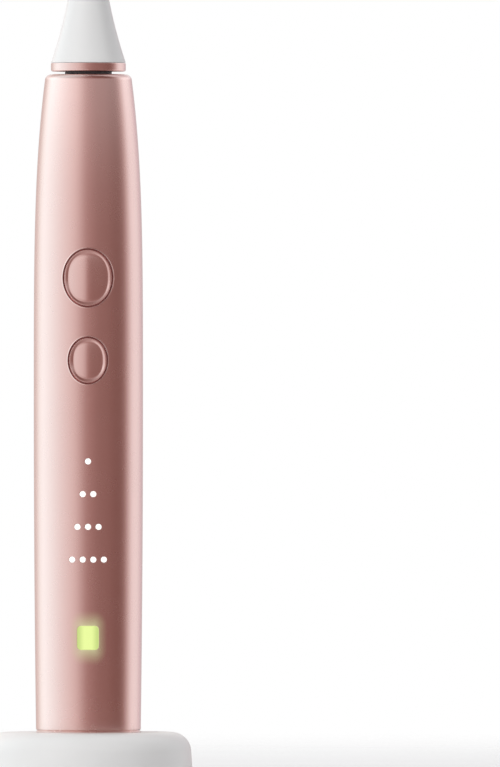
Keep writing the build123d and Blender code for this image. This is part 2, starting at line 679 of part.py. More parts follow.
def board_screws():
    """Screws that hold the board to the chassis."""
    screws = []
    for z in BOARD_SCREW_Z:
        head = rod(BOARD_SCREW_HEAD_R, BOARD_FRONT - SCREW_HEAD_H, BOARD_FRONT, z)
        shank = rod(BOARD_SCREW_R, BOARD_FRONT, BOARD_BACK + BOARD_SCREW_BITE, z)
        head_front = BOARD_FRONT - SCREW_HEAD_H
        slot_l = 2 * (BOARD_SCREW_HEAD_R - SLOT_END)
        screws.append(head + shank - slab(slot_l, SLOT_W, head_front, head_front + SLOT_D, z))
    return Compound(children=screws)


def control_chip():
    """Controller on the front of the board."""
    wide, thick, high = CHIP
    return slab(wide, high, BOARD_FRONT - thick, BOARD_FRONT, CHIP_Z)


def lead_pair(x, start, bend, end):
    """Two insulated wires, one each side of the axis, bent once between two points of (y, z)."""
    wires = []
    for side in (-1, 1):
        path = FilletPolyline(*[(side * x, y, z) for y, z in (start, bend, end)], radius=LEAD_BEND_R)
        wires.append(sweep(Plane(path @ 0, z_dir=path % 0) * Circle(LEAD_R), path))
    return Compound(children=wires)


def motor_leads():
    """Wires from the motor through the deck to the back of the board."""
    end_z = BOARD_TOP - MOTOR_LEAD_END
    return lead_pair(MOTOR_LEAD_X, (MOTOR_LEAD_Y, MOTOR_Z), (MOTOR_LEAD_Y, end_z), (BOARD_BACK, end_z))


def coil_leads():
    """Wires from the receiving winding's spool through the floor to the front of the board."""
    spool_top = SHELL_Z + RECEIVER_H
    end_z = BOARD_Z + COIL_LEAD_RISE
    return lead_pair(COIL_LEAD_X, (COIL_LEAD_Y, spool_top), (COIL_LEAD_Y, end_z), (BOARD_FRONT, end_z))


# Motor and nose

def motor_damper():
    """Rubber ring between the deck and the motor."""
    return disc(MOTOR_R, DECK_TOP, MOTOR_Z, MOTOR_R - DAMPER_W)


def motor_rear_plate():
    """Lower end of the motor, with the seat of the rear bush."""
    hub_top = MOTOR_Z + PLATE_T + BUSH_BOSS_H
    plate = disc(MOTOR_R, MOTOR_Z, MOTOR_Z + PLATE_T) + disc(BUSH_R + BUSH_WALL, MOTOR_Z, hub_top)
    return plate - disc(BUSH_R, MOTOR_Z + BUSH_STEP, hub_top)


def motor_rear_bush():
    """Plain bearing at the shaft's lower end."""
    low, high = MOTOR_Z + BUSH_STEP, MOTOR_Z + PLATE_T + BUSH_BOSS_H
    return disc(BUSH_R - SNUG, low, high, SHAFT_R + RUN)


def motor_can():
    """Steel tube of the motor."""
    return disc(MOTOR_R, MOTOR_Z + PLATE_T, MOTOR_TOP - PLATE_T, CAN_BORE_R)


def motor_front_plate():
    """Upper end of the motor, with the seat of the front bush."""
    plate = disc(MOTOR_R, MOTOR_TOP - PLATE_T, MOTOR_TOP)
    plate += disc(BUSH_R + BUSH_WALL, MOTOR_TOP, MOTOR_TOP + BUSH_BOSS_H)
    return plate - disc(BUSH_R, MOTOR_TOP - PLATE_T, MOTOR_TOP + BUSH_BOSS_H)


def motor_front_bush():
    """Plain bearing where the shaft leaves the motor."""
    return disc(BUSH_R - SNUG, MOTOR_TOP - PLATE_T, MOTOR_TOP + BUSH_BOSS_H, SHAFT_R + RUN)


def stator_bobbin():
    """Spool of the motor's winding."""
    return bobbin(STATOR_R, STATOR_R + BOBBIN_T, CAN_BORE_R - SLIP, STATOR_Z, STATOR_TOP)


def stator_coil():
    """Motor winding."""
    flange = BOBBIN_T + SNUG
    return disc(STATOR_COIL_R, STATOR_Z + flange, STATOR_TOP - flange, STATOR_R + flange)


def centring_spring():
    """Flat spring that brings the rotor back to the middle: rim, hub and straight arms."""
    low, high = SPRING_Z, SPRING_Z + SPRING_T
    rim_r = CAN_BORE_R - SLIP
    hub_r = SHAFT_R + RUN + SPRING_HUB
    spring = disc(rim_r, low, high, rim_r - SPRING_RIM) + disc(hub_r, low, high, SHAFT_R + RUN)
    arm_l = rim_r - SPRING_RIM - hub_r + 2 * TUCK
    arm = Pos(hub_r - TUCK + arm_l / 2, 0, low + SPRING_T / 2) * Box(arm_l, SPRING_ARM_W, SPRING_T)
    return spring + [Rot(0, 0, 360 * i / SPRING_ARMS) * arm for i in range(SPRING_ARMS)]


def drive_shaft():
    """Steel shaft with the flat that turns the brush head."""
    shaft = disc(SHAFT_R, MOTOR_Z + BUSH_STEP + SLIP, SHAFT_END)
    shaft = chamfer(shaft.edges().sort_by(Axis.Z)[-1], SHAFT_BEVEL)
    flat_h = SHAFT_OUT - FLAT_START
    return shaft - slab(4 * SHAFT_R, flat_h, SHAFT_FLAT, 2 * SHAFT_R, SHAFT_END - flat_h / 2)


def rotor_hub():
    """Iron core on the shaft."""
    return disc(ROTOR_R, ROTOR_MID - ROTOR_L / 2, ROTOR_MID + ROTOR_L / 2, SHAFT_R + SNUG)


def rotor_magnets():
    """Curved magnets round the rotor."""
    reach = ROTOR_L / 2 - MAGNET_GAP
    ring = disc(MAGNET_R, ROTOR_MID - reach, ROTOR_MID + reach, ROTOR_R + SNUG)
    gap = Pos(0, 0, ROTOR_MID) * Box(4 * MAGNET_R, MAGNET_GAP, ROTOR_L)
    return ring - gap - Rot(0, 0, 90) * gap


def nose_cap():
    """Inner cap under the shell's top wall, with the collar that stands out of the handle."""
    collar_top = HANDLE_TOP + COLLAR_H
    nose = disc(handle_radius(NOSE_UNDER) - WALL - CHASSIS_CLEAR, MOTOR_TOP, NOSE_UNDER)
    nose += turned(
        (0, NOSE_UNDER, 0), (NOSE_R, NOSE_UNDER, 0), (NOSE_R, collar_top, COLLAR_EDGE_R), (0, collar_top, 0)
    )
    nose -= disc(BUSH_R + BUSH_WALL + SLIP, MOTOR_TOP, MOTOR_TOP + BUSH_BOSS_H + SLIP)
    nose -= disc(SHAFT_R + AIR_GAP, MOTOR_TOP, collar_top)
    nose -= disc(SHAFT_SEAL_R, collar_top - SHAFT_SEAL_H, collar_top)
    middle = NOSE_UNDER + TOP_WALL / 2
    half = (NOSE_GROOVE_D + SLIP) / 2
    return nose - disc(2 * NOSE_R, middle - half, middle + half, NOSE_R - NOSE_GROOVE_D)


def nose_seal():
    """Rubber ring between the collar and the shell."""
    return ring_seal(NOSE_R - NOSE_GROOVE_D, NOSE_R + SLIP, NOSE_UNDER + TOP_WALL / 2)


def shaft_seal():
    """Rubber seal round the shaft, with a raised lip."""
    bore = SHAFT_R + RUN
    top = HANDLE_TOP + COLLAR_H
    low = top - SHAFT_SEAL_H
    outer = SHAFT_SEAL_R - SNUG
    lip = SHAFT_SEAL_LIP
    return turned(
        (bore, low, 0), (outer, low, 0), (outer, top, CORNER_R), (bore + lip, top, 0),
        (bore + lip / 2, top + lip, CORNER_R), (bore, top + lip, 0),
    )


# Brush head

def neck_radius(rise):
    """Radius of the brush head's neck at a height above its base."""
    left = 1 - (rise - HEAD_RING_H) / (NECK_L - HEAD_RING_H)
    return NECK_R + (HEAD_BASE_R - NECK_R) * left**NECK_POWER


def head_half_width(share):
    """Half width of the head, where share runs from -1 at its root to 1 at its tip."""
    return HEAD_W / 2 * (1 - abs(share) ** HEAD_POWER) ** (1 / HEAD_POWER)


def brush_body():
    """Neck and head of the brush, hollow at its base, with a flat face for the bristles."""
    head_middle = HEAD_L - HEAD_H / 2
    sections = []
    for i in range(NECK_STATIONS + 1):
        rise = HEAD_RING_H + (NECK_L - HEAD_RING_H) * i / NECK_STATIONS
        sections.append(Pos(0, 0, HEAD_Z + rise) * Circle(neck_radius(rise)))
    for share in HEAD_STATIONS:
        depth = HEAD_T / 2 * (1 - max(0.0, share) ** 4 * HEAD_TIP_THIN)
        z = HEAD_Z + head_middle + share * HEAD_H / 2
        sections.append(Pos(0, 0, z) * Ellipse(head_half_width(share), depth))
    body = loft(sections)
    face_low = HEAD_Z + head_middle - HEAD_H / 2 + HEAD_FACE
    ramp = Polyline(
        (-HEAD_FACE, face_low), (-HEAD_FACE, HEAD_Z + 2 * HEAD_L), (-HEAD_W, HEAD_Z + 2 * HEAD_L),
        (-HEAD_W, face_low - HEAD_W), close=True,
    )
    body -= extrude(Plane.YZ * make_face(ramp), HEAD_W, both=True)
    skirt_r = HEAD_CAVITY_R + HEAD_SKIRT_T
    body += disc(skirt_r, HEAD_Z + SLIP, HEAD_Z + HEAD_RING_H + TUCK)
    body -= disc(HEAD_CAVITY_R, HEAD_Z, HEAD_Z + HEAD_CAVITY_H)
    body -= disc(INSERT_R + SNUG, HEAD_Z, INSERT_TOP + SLIP)
    return body - pushed(bristle_outline(RUN), -HEAD_W, -HEAD_FACE + BRISTLE_BACK_T, BRISTLE_Z)


def brush_insert():
    """Sleeve that grips the shaft, closed at its end, with a flange against the cavity's roof."""
    sleeve = disc(INSERT_R, INSERT_Z, INSERT_TOP)
    sleeve += disc(HEAD_CAVITY_R - SLIP, INSERT_Z, INSERT_Z + INSERT_FLANGE_T - SNUG)
    hole = disc(SHAFT_R + RUN, INSERT_Z, SHAFT_END + SLIP)
    hole -= slab(4 * SHAFT_R, 2 * SHAFT_OUT, SHAFT_FLAT + RUN, 2 * SHAFT_R, SHAFT_END)
    return sleeve - hole


def brush_ring():
    """Coloured ring round the base of the brush head."""
    bore = HEAD_CAVITY_R + HEAD_SKIRT_T + RUN
    top = HEAD_Z + HEAD_RING_H - SNUG
    return turned(
        (bore, HEAD_Z, 0),
        (HEAD_BASE_R, HEAD_Z, HEAD_RING_EDGE_R),
        (HEAD_BASE_R, top, CORNER_R),
        (bore, top, 0),
    )


def bristle_outline(grow):
    """Front view of the bristles' backing."""
    half_w = head_half_width(0) - BRISTLE_MARGIN + grow
    return Ellipse(half_w, HEAD_H / 2 - 2 * BRISTLE_MARGIN + grow)


def bristles():
    """Tufts of square strands on a slice of their backing, longer towards both ends of the head."""
    half_w = head_half_width(0) - BRISTLE_MARGIN
    half_h = HEAD_H / 2 - 2 * BRISTLE_MARGIN
    backing = pushed(bristle_outline(0), -HEAD_FACE, -HEAD_FACE + BRISTLE_BACK_T - SNUG, BRISTLE_Z)
    columns, rows = int(half_w / TUFT_PITCH_X), int(half_h / TUFT_PITCH_Z)
    middle = (STRANDS_ACROSS - 1) / 2
    square = Rectangle(STRAND_T, STRAND_T)
    strands = []
    for row in range(-rows, rows + 1):
        z = row * TUFT_PITCH_Z
        length = BRISTLE_L + BRISTLE_WAVE * (1 - cos(pi * z / half_h)) / 2
        for column in range(-columns, columns + 1):
            x = column * TUFT_PITCH_X
            if (x / (half_w - TUFT_EDGE)) ** 2 + (z / (half_h - TUFT_EDGE)) ** 2 > 1:
                continue
            for i in range(STRANDS_ACROSS**2):
                across, up = i % STRANDS_ACROSS - middle, i // STRANDS_ACROSS - middle
                place = Pos(x + across * STRAND_PITCH, z + up * STRAND_PITCH)
                strands.append(pushed(place * square, -HEAD_FACE - length, -HEAD_FACE, BRISTLE_Z))
    return backing + strands


PIECES = {
    "charger_top": charger_top, "charger_cover": charger_cover, "charger_foot": charger_foot,
    "charger_screws": charger_screws, "charger_core": charger_core, "charger_bobbin": charger_bobbin,
    "charger_coil": charger_coil, "charger_board": charger_board, "charger_chips": charger_chips,
    "cord_gland": cord_gland, "foot_cap": foot_cap, "foot_seal": foot_seal,
    "receiver_bobbin": receiver_bobbin, "receiver_coil": receiver_coil, "handle_shell": handle_shell,
    "power_button": power_button, "mode_button": mode_button,
    "power_plunger": lambda: switch_plunger(POWER_Z), "mode_plunger": lambda: switch_plunger(MODE_Z),
    "power_boot": lambda: switch_boot(POWER_Z), "mode_boot": lambda: switch_boot(MODE_Z),
    "switch_bodies": switch_bodies, "charge_window": charge_window, "mode_light_guide": mode_light_guide,
    "mode_lamps": mode_lamps, "charge_lamp": charge_lamp, "chassis": chassis,
    "battery_cell": battery_cell, "battery_tabs": battery_tabs, "battery_pad": battery_pad,
    "main_board": main_board, "board_screws": board_screws, "control_chip": control_chip,
    "motor_leads": motor_leads, "coil_leads": coil_leads,
    "motor_damper": motor_damper, "motor_rear_plate": motor_rear_plate,
    "motor_rear_bush": motor_rear_bush, "motor_can": motor_can, "motor_front_plate": motor_front_plate,
    "motor_front_bush": motor_front_bush, "stator_bobbin": stator_bobbin, "stator_coil": stator_coil,
    "centring_spring": centring_spring, "drive_shaft": drive_shaft, "rotor_hub": rotor_hub,
    "rotor_magnets": rotor_magnets, "nose_cap": nose_cap, "nose_seal": nose_seal,
    "shaft_seal": shaft_seal, "brush_body": brush_body, "brush_insert": brush_insert,
    "brush_ring": brush_ring, "bristles": bristles,
}

os.makedirs("parts", exist_ok=True)
for name, make in PIECES.items():
    export_step(make(), f"parts/{name}.step")
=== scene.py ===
import json
import math
import random

import bpy
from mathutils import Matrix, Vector


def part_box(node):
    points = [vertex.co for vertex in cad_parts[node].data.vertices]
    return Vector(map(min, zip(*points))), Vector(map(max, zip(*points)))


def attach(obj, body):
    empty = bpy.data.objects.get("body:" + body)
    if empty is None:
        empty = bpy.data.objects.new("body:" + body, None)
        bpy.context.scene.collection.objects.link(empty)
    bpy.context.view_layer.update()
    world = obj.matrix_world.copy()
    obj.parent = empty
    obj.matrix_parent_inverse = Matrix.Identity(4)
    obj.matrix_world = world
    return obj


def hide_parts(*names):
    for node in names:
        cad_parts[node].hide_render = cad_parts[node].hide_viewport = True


# Electric toothbrush standing on its charging base: finishes, fine meshes, light and camera.
# Metres, +Z up, buttons and bristles towards -Y, origin at the centre of the base's foot.

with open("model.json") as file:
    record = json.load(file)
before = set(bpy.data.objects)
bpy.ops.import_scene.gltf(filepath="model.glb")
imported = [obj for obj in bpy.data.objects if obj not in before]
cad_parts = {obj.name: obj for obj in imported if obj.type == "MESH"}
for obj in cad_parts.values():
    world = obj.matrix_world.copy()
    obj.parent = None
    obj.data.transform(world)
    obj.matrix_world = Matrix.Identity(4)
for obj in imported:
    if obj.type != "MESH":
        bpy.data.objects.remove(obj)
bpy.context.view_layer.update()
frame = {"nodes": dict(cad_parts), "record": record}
nodes = frame["nodes"]
MM = 0.001
MICRON = 0.000001

# Handle's outer form, as in the solids
FOOT_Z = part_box("foot_cap")[0].z
SHELL_Z, HANDLE_TOP = (corner.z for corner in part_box("handle_shell"))
GRIP_R = 14.0 * MM
FOOT_DROP = 0.6 * MM     # how much the radius falls to the foot
TOP_DROP = 3.06 * MM     # and to the top
TAPER_H = 83.5 * MM
TAPER_POWER = 3.7
GRIP_Z = HANDLE_TOP - TAPER_H
WALL = 1.6 * MM
TOP_WALL = 2.0 * MM
TOP_EDGE_R = 1.6 * MM
SEAM = 0.25 * MM
NOSE_BORE_R = 6.1 * MM
FRONT = Vector((0, -1, 0))

# Buttons, lights and window in the front of the handle
POWER_HALF = (6.45 * MM, 7.55 * MM)
MODE_HALF = (5.15 * MM, 6.1 * MM)
WINDOW_HALF = (2.75 * MM, 3.05 * MM)
WINDOW_CORNER = 0.95 * MM
LIGHT_R = 0.8 * MM
LIGHT_PITCH = 2.7 * MM
ROW_COUNT = 4


def middle_z(node):
    """Height of the middle of a CAD node."""
    low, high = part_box(node)
    return (low.z + high.z) / 2


POWER_Z = middle_z("power_button")
MODE_Z = middle_z("mode_button")
WINDOW_Z = middle_z("charge_window")
LAMP_HALF = 0.7 * MM
LAST_ROW_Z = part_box("mode_lamps")[0].z + LAMP_HALF
FIRST_ROW_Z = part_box("mode_lamps")[1].z - LAMP_HALF
ROW_PITCH = (FIRST_ROW_Z - LAST_ROW_Z) / (ROW_COUNT - 1)


def radius_at(z):
    """Outer radius of the handle at a height."""
    if z >= GRIP_Z:
        return GRIP_R - TOP_DROP * ((z - GRIP_Z) / TAPER_H) ** TAPER_POWER
    return GRIP_R - FOOT_DROP * ((GRIP_Z - z) / (GRIP_Z - FOOT_Z)) ** 2


def lean_at(z):
    """How fast that radius changes with height."""
    if z >= GRIP_Z:
        return -TOP_DROP * TAPER_POWER / TAPER_H * ((z - GRIP_Z) / TAPER_H) ** (TAPER_POWER - 1)
    return 2 * FOOT_DROP * (GRIP_Z - z) / (GRIP_Z - FOOT_Z) ** 2


def spread(low, high, count):
    """Even steps from one value towards another, which is left out."""
    return [low + (high - low) * i / count for i in range(count)]


def turns(count):
    """Even angles round a full turn."""
    return spread(0, 2 * math.pi, count)


# Node helpers

def add(tree, kind, **settings):
    """New node with its settings."""
    node = tree.nodes.new(kind)
    for name, value in settings.items():
        setattr(node, name, value)
    return node


def feed(tree, value, socket):
    """Links a socket, or sets a plain value; a plain colour has no alpha of its own."""
    if isinstance(value, bpy.types.NodeSocket):
        tree.links.new(value, socket)
    elif socket.type == "RGBA":
        socket.default_value = (*value, 1.0)
    else:
        socket.default_value = value


def feed_all(tree, values, sockets):
    """Feeds sockets in their order."""
    for value, socket in zip(values, sockets):
        feed(tree, value, socket)


def dress(tree, node, **values):
    """Feeds a node's inputs by name; a name's underscores stand for spaces."""
    for name, value in values.items():
        feed(tree, value, node.inputs[name.replace("_", " ")])


def calc(tree, operation, *values, clamp=False):
    """Result of a maths node."""
    node = add(tree, "ShaderNodeMath", operation=operation, use_clamp=clamp)
    feed_all(tree, values, node.inputs)
    return node.outputs[0]


def between(tree, value, low, high, to_low=0.0, to_high=1.0, smooth=False):
    """Value carried from one range to another, kept inside it."""
    way = "SMOOTHSTEP" if smooth else "LINEAR"
    node = add(tree, "ShaderNodeMapRange", interpolation_type=way)
    feed_all(tree, (value, low, high, to_low, to_high), node.inputs)
    return node.outputs[0]


def blend_colour(tree, share, first, second, way="MIX"):
    """Colour between two colours, or made from both in another way."""
    node = add(tree, "ShaderNodeMix", data_type="RGBA", blend_type=way)
    dress(tree, node, Factor=share)
    feed_all(tree, (first, second), [s for s in node.inputs if s.type == "RGBA"])
    return next(s for s in node.outputs if s.type == "RGBA")


def place(tree):
    """Place on the piece, in metres."""
    return add(tree, "ShaderNodeTexCoord").outputs["Object"]


def parts_of(tree, vector):
    """The X, Y and Z of a vector."""
    node = add(tree, "ShaderNodeSeparateXYZ")
    dress(tree, node, Vector=vector)
    return node.outputs


def length_of(tree, first, second):
    """Length of the slanted side over two square ones."""
    squares = [calc(tree, "POWER", side, 2.0) for side in (first, second)]
    return calc(tree, "SQRT", calc(tree, "ADD", *squares))


def noise(tree, scale, detail=3.0, spot=None):
    """Soft noise from 0 to 1, on the piece or at a given spot."""
    node = add(tree, "ShaderNodeTexNoise")
    dress(tree, node, Vector=place(tree) if spot is None else spot, Scale=scale, Detail=detail)
    return node.outputs["Fac"]


def streaks(tree, scales, detail=3.0):
    """Soft noise on the piece, with a scale for each axis."""
    node = add(tree, "ShaderNodeMapping")
    dress(tree, node, Vector=place(tree), Scale=scales)
    return noise(tree, 1.0, detail, node.outputs[0])


def cells(tree, scale, **settings):
    """Distance from the middles of irregular cells on the piece."""
    node = add(tree, "ShaderNodeTexVoronoi", **settings)
    dress(tree, node, Vector=place(tree), Scale=scale)
    return node.outputs["Distance"]


NOISE_LOW, NOISE_HIGH = 0.3, 0.7    # where most of the noise lies


def varied(tree, pattern, low, high):
    """Value that follows soft noise between two limits."""
    return between(tree, pattern, NOISE_LOW, NOISE_HIGH, low, high)


# Node groups for moulded and machined surfaces

FLOAT = "NodeSocketFloat"
COLOUR = "NodeSocketColor"
GREY = (0.5, 0.5, 0.5, 1.0)
SOOT = (0.02, 0.02, 0.02)
BLACK = (0.0, 0.0, 0.0)
STAIN_EDGE = (0.45, 0.75)    # from clean to tarnished metal, in the noise
LINE_SPREAD = 0.15           # how far the gloss strays with the tool lines


def open_group(name, **starts):
    """New node group: inputs with start values, and outputs for colour, roughness and height."""
    group = bpy.data.node_groups.new(name, "ShaderNodeTree")
    for label, start in starts.items():
        kind = FLOAT if isinstance(start, float) else COLOUR
        socket = group.interface.new_socket(label.replace("_", " "), in_out="INPUT", socket_type=kind)
        socket.default_value = start
    for label, kind in (("Color", COLOUR), ("Roughness", FLOAT), ("Height", FLOAT)):
        group.interface.new_socket(label, in_out="OUTPUT", socket_type=kind)
    return group, add(group, "NodeGroupInput").outputs, add(group, "NodeGroupOutput")


def scattered(group, value, pattern, share):
    """Value that strays to both sides with a pattern."""
    stray = calc(group, "MULTIPLY", calc(group, "SUBTRACT", pattern, 0.5), share)
    return calc(group, "ADD", value, stray, clamp=True)


def skin_group():
    """Moulded skin: slow drift of the tone, smudged gloss and a fine moulded grain."""
    group, given, out = open_group(
        "moulded_skin", Color=GREY, Drift=0.1, Roughness=0.4, Smudge=0.1, Grain_Scale=3000.0
    )
    deep = blend_colour(group, given["Drift"], given["Color"], SOOT)
    smudges = noise(group, 190.0, detail=4.0)
    dress(
        group, out,
        Color=blend_colour(group, noise(group, 70.0, detail=2.0), given["Color"], deep),
        Roughness=scattered(group, given["Roughness"], smudges, given["Smudge"]),
        Height=noise(group, given["Grain Scale"], detail=2.0),
    )
    return group


def metal_group():
    """Machined metal: tool lines round the axis, with the tone and gloss that go with them."""
    group, given, out = open_group(
        "machined_metal", Color=GREY, Tarnish=GREY, Roughness=0.3, Line_Spread=LINE_SPREAD
    )
    lines = streaks(group, (60.0, 60.0, 9000.0))
    stain = between(group, noise(group, 320.0, detail=5.0), *STAIN_EDGE)
    dress(
        group, out,
        Color=blend_colour(group, stain, given["Color"], given["Tarnish"]),
        Roughness=scattered(group, given["Roughness"], lines, given["Line Spread"]),
        Height=lines,
    )
    return group


SKIN = skin_group()
METAL = metal_group()


def new_finish(name):
    """New material and its node tree."""
    finish = bpy.data.materials.new(name)
    finish.use_nodes = True
    return finish, finish.node_tree


def dressed(finish, height=None, depth=0.0, **values):
    """The material with its shader's inputs fed, and a bump of a real depth in metres where it has one."""
    tree = finish.node_tree
    shader = tree.nodes["Principled BSDF"]
    dress(tree, shader, **values)
    if height is not None:
        bump = add(tree, "ShaderNodeBump")
        dress(tree, bump, Distance=depth, Strength=1.0, Height=height)
        dress(tree, shader, Normal=bump.outputs[0])
    return finish


def grouped(name, group, depth, **values):
    """New material on a node group with its own values, its node tree and its colour."""
    finish, tree = new_finish(name)
    node = add(tree, "ShaderNodeGroup", node_tree=group)
    dress(tree, node, **values)
    colour, rough, height = node.outputs
    return dressed(finish, height, depth, Base_Color=colour, Roughness=rough), tree, colour


def moulded(name, colour, rough, drift=0.06, smudge=0.08, grain=3000.0, depth=4 * MICRON):
    """Moulded plastic or rubber."""
    return grouped(
        name, SKIN, depth, Color=colour, Drift=drift, Roughness=rough, Smudge=smudge, Grain_Scale=grain
    )[0]


def machined(name, colour, tarnish, rough, depth=3 * MICRON):
    """Bare metal."""
    values = {"Color": colour, "Tarnish": tarnish, "Roughness": rough, "Line_Spread": LINE_SPREAD}
    return dressed(grouped(name, METAL, depth, **values)[0], Metallic=1.0)


# Finishes with a pattern of their own

LACQUER = (0.82, 0.62, 0.58)
GLOW = (0.72, 0.75, 0.41)
GLOW_SHARE = 0.6         # how much of the lacquer's own tone gives way beside the window
GLOW_CORE = 1.5 * MM     # half width of the brightest part
GLOW_REACH = 4.2 * MM
GLOW_SIDEWAYS = 1.2      # how much sooner the glow falls off to the sides
GLOW_FALL = 1.5
GLOW_FRONT = (-8.0 * MM, -11.0 * MM)    # from no glow to full glow towards the handle's front


def rose_lacquer(name, glow):
    """Satin metallic lacquer with fine flake, and light from the charge window spilling on it."""
    finish, tree, colour = grouped(
        name, SKIN, 0.4 * MICRON,
        Color=LACQUER, Drift=0.03, Roughness=0.27, Smudge=0.04, Grain_Scale=9000.0,
    )
    dressed(finish, Metallic=1.0, Coat_Weight=1.0, Coat_Roughness=0.12)
    if glow:
        x, y, z = parts_of(tree, place(tree))
        out_x = calc(tree, "SUBTRACT", calc(tree, "ABSOLUTE", x), GLOW_CORE)
        wide = calc(tree, "MAXIMUM", calc(tree, "MULTIPLY", out_x, GLOW_SIDEWAYS), 0.0)
        up = calc(tree, "ABSOLUTE", calc(tree, "SUBTRACT", z, WINDOW_Z))
        high = calc(tree, "MAXIMUM", calc(tree, "SUBTRACT", up, WINDOW_HALF[1]), 0.0)
        near = between(tree, length_of(tree, wide, high), 0.0, GLOW_REACH, 1.0, 0.0)
        spill = calc(tree, "MULTIPLY", calc(tree, "POWER", near, GLOW_FALL), between(tree, y, *GLOW_FRONT))
        share = calc(tree, "MULTIPLY", spill, GLOW_SHARE)
        dressed(
            finish,
            Base_Color=blend_colour(tree, share, colour, BLACK),
            Emission_Color=blend_colour(tree, share, BLACK, GLOW),
            Emission_Strength=1.0,
        )
    return finish


# From the window's bright middle to its dimmer rim, as shares of its half width and half height
RIM_ACROSS = (0.25, 1.0)
RIM_UP = (0.93, 1.05)
PRISM_TURNS = 14000.0    # radians of the prism lines for each metre of height


def charge_glow():
    """Green diffusing window, brightest in its middle, with fine prism lines."""
    finish, tree = new_finish("window_glow_green")
    here = parts_of(tree, place(tree))
    across = calc(tree, "DIVIDE", here["X"], WINDOW_HALF[0])
    up = calc(tree, "DIVIDE", calc(tree, "SUBTRACT", here["Z"], WINDOW_Z), WINDOW_HALF[1])
    side = between(tree, calc(tree, "ABSOLUTE", across), *RIM_ACROSS, smooth=True)
    end = between(tree, calc(tree, "ABSOLUTE", up), *RIM_UP, smooth=True)
    rim = calc(tree, "MAXIMUM", side, end)
    prisms = calc(tree, "SINE", calc(tree, "MULTIPLY", here["Z"], PRISM_TURNS))
    return dressed(
        finish, prisms, 8 * MICRON,
        Base_Color=blend_colour(tree, rim, (0.08, 0.10, 0.03), (0.05, 0.06, 0.02)),
        Emission_Color=blend_colour(tree, rim, (0.84, 0.98, 0.36), (0.58, 0.72, 0.23)),
        Emission_Strength=0.9,
        Roughness=0.22,
    )


GUIDE_END = (12.6 * MM, 13.2 * MM)    # from clear to lit, outwards from the axis


def guide_light():
    """Clear guide whose ends glow white where they come through the handle."""
    finish, tree = new_finish("light_guide_clear")
    here = parts_of(tree, place(tree))
    end = between(tree, length_of(tree, here["X"], here["Y"]), *GUIDE_END)
    return dressed(
        finish,
        Base_Color=blend_colour(tree, end, (0.82, 0.86, 0.88), (0.95, 0.94, 0.92)),
        Emission_Color=blend_colour(tree, end, SOOT, (1.0, 0.97, 0.93)),
        Emission_Strength=0.45,
        Roughness=varied(tree, noise(tree, 2500.0), 0.12, 0.22),
    )


WIRE_TURNS = 18000.0    # radians of winding for each metre of height


def copper_winding():
    """Close turns of lacquered copper wire, darker between the turns as painted shade."""
    finish, tree = new_finish("winding_copper")
    x, y, z = parts_of(tree, place(tree))
    turn = calc(tree, "ADD", calc(tree, "MULTIPLY", z, WIRE_TURNS), calc(tree, "ARCTAN2", y, x))
    wire = between(tree, calc(tree, "SINE", turn), -1.0, 1.0)
    tone = streaks(tree, (90.0, 90.0, 4000.0))
    bright = blend_colour(tree, tone, (0.72, 0.30, 0.12), (0.86, 0.42, 0.20))
    return dressed(
        finish, wire, 80 * MICRON,
        # Dark in the grooves between the turns: painted shade; the bump gives the turns their form
        Base_Color=blend_colour(tree, wire, (0.20, 0.06, 0.02), bright),
        Roughness=between(tree, tone, 0.2, 0.8, 0.22, 0.36),
        Metallic=1.0,
    )


TRACKS = 5.0                # tracks for each cell of the board's pattern
TRACK_EDGE = (0.42, 0.50)   # from bare board to track, as shares of a step
PAD_EDGE = (0.10, 0.08)     # from board to pad, towards a cell's middle


def board_green():
    """Green board with fine copper tracks under its lacquer and bright pads."""
    finish, tree = new_finish("board_green_lacquer")
    grid = cells(tree, 420.0, feature="F1", distance="MANHATTAN")
    steps = calc(tree, "FRACT", calc(tree, "MULTIPLY", grid, TRACKS))
    track = between(tree, steps, *TRACK_EDGE)
    pad = between(tree, grid, *PAD_EDGE)
    green = blend_colour(tree, track, (0.010, 0.090, 0.035), (0.018, 0.150, 0.055))
    return dressed(
        finish, track, 20 * MICRON,
        Base_Color=blend_colour(tree, pad, green, (0.78, 0.62, 0.30)),
        Metallic=pad,
        Roughness=varied(tree, noise(tree, 5200.0), 0.28, 0.42),
    )


SLEEVE_FOOT = (0.9 * MM, 0.7 * MM)    # from sleeve to bare steel, above the cell's foot
SLEEVE_TOP = (1.7 * MM, 1.5 * MM)     # and below its top


def cell_sleeve():
    """Shrink sleeve on the cell, with bare steel ends."""
    finish, tree = new_finish("cell_sleeve_teal")
    low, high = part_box("battery_cell")
    z = parts_of(tree, place(tree))["Z"]
    foot = between(tree, z, *(low.z + rise for rise in SLEEVE_FOOT))
    top = between(tree, z, *(high.z - drop for drop in SLEEVE_TOP))
    ends = calc(tree, "ADD", foot, top, clamp=True)
    crease = streaks(tree, (300.0, 300.0, 900.0), detail=4.0)
    sleeve = blend_colour(tree, crease, (0.012, 0.150, 0.160), (0.020, 0.210, 0.220))
    return dressed(
        finish, crease, 30 * MICRON,
        Base_Color=blend_colour(tree, ends, sleeve, (0.66, 0.66, 0.64)),
        Metallic=ends,
        Roughness=varied(tree, crease, 0.24, 0.38),
    )


def cushion_foam():
    """Open-cell foam, darker in its pores as painted shade."""
    finish, tree = new_finish("foam_black_cells")
    depth = cells(tree, 2600.0, feature="SMOOTH_F1")
    return dressed(
        finish, depth, 120 * MICRON,
        # Darker towards the middle of each pore: painted shade in the hollows
        Base_Color=blend_colour(tree, depth, (0.012, 0.012, 0.013), (0.055, 0.055, 0.058)),
        Roughness=between(tree, depth, 0.0, 1.0, 0.95, 0.75),
    )


LAMP_FRONT = (-0.5, -0.9)    # from body to front, as the forward part of the normal


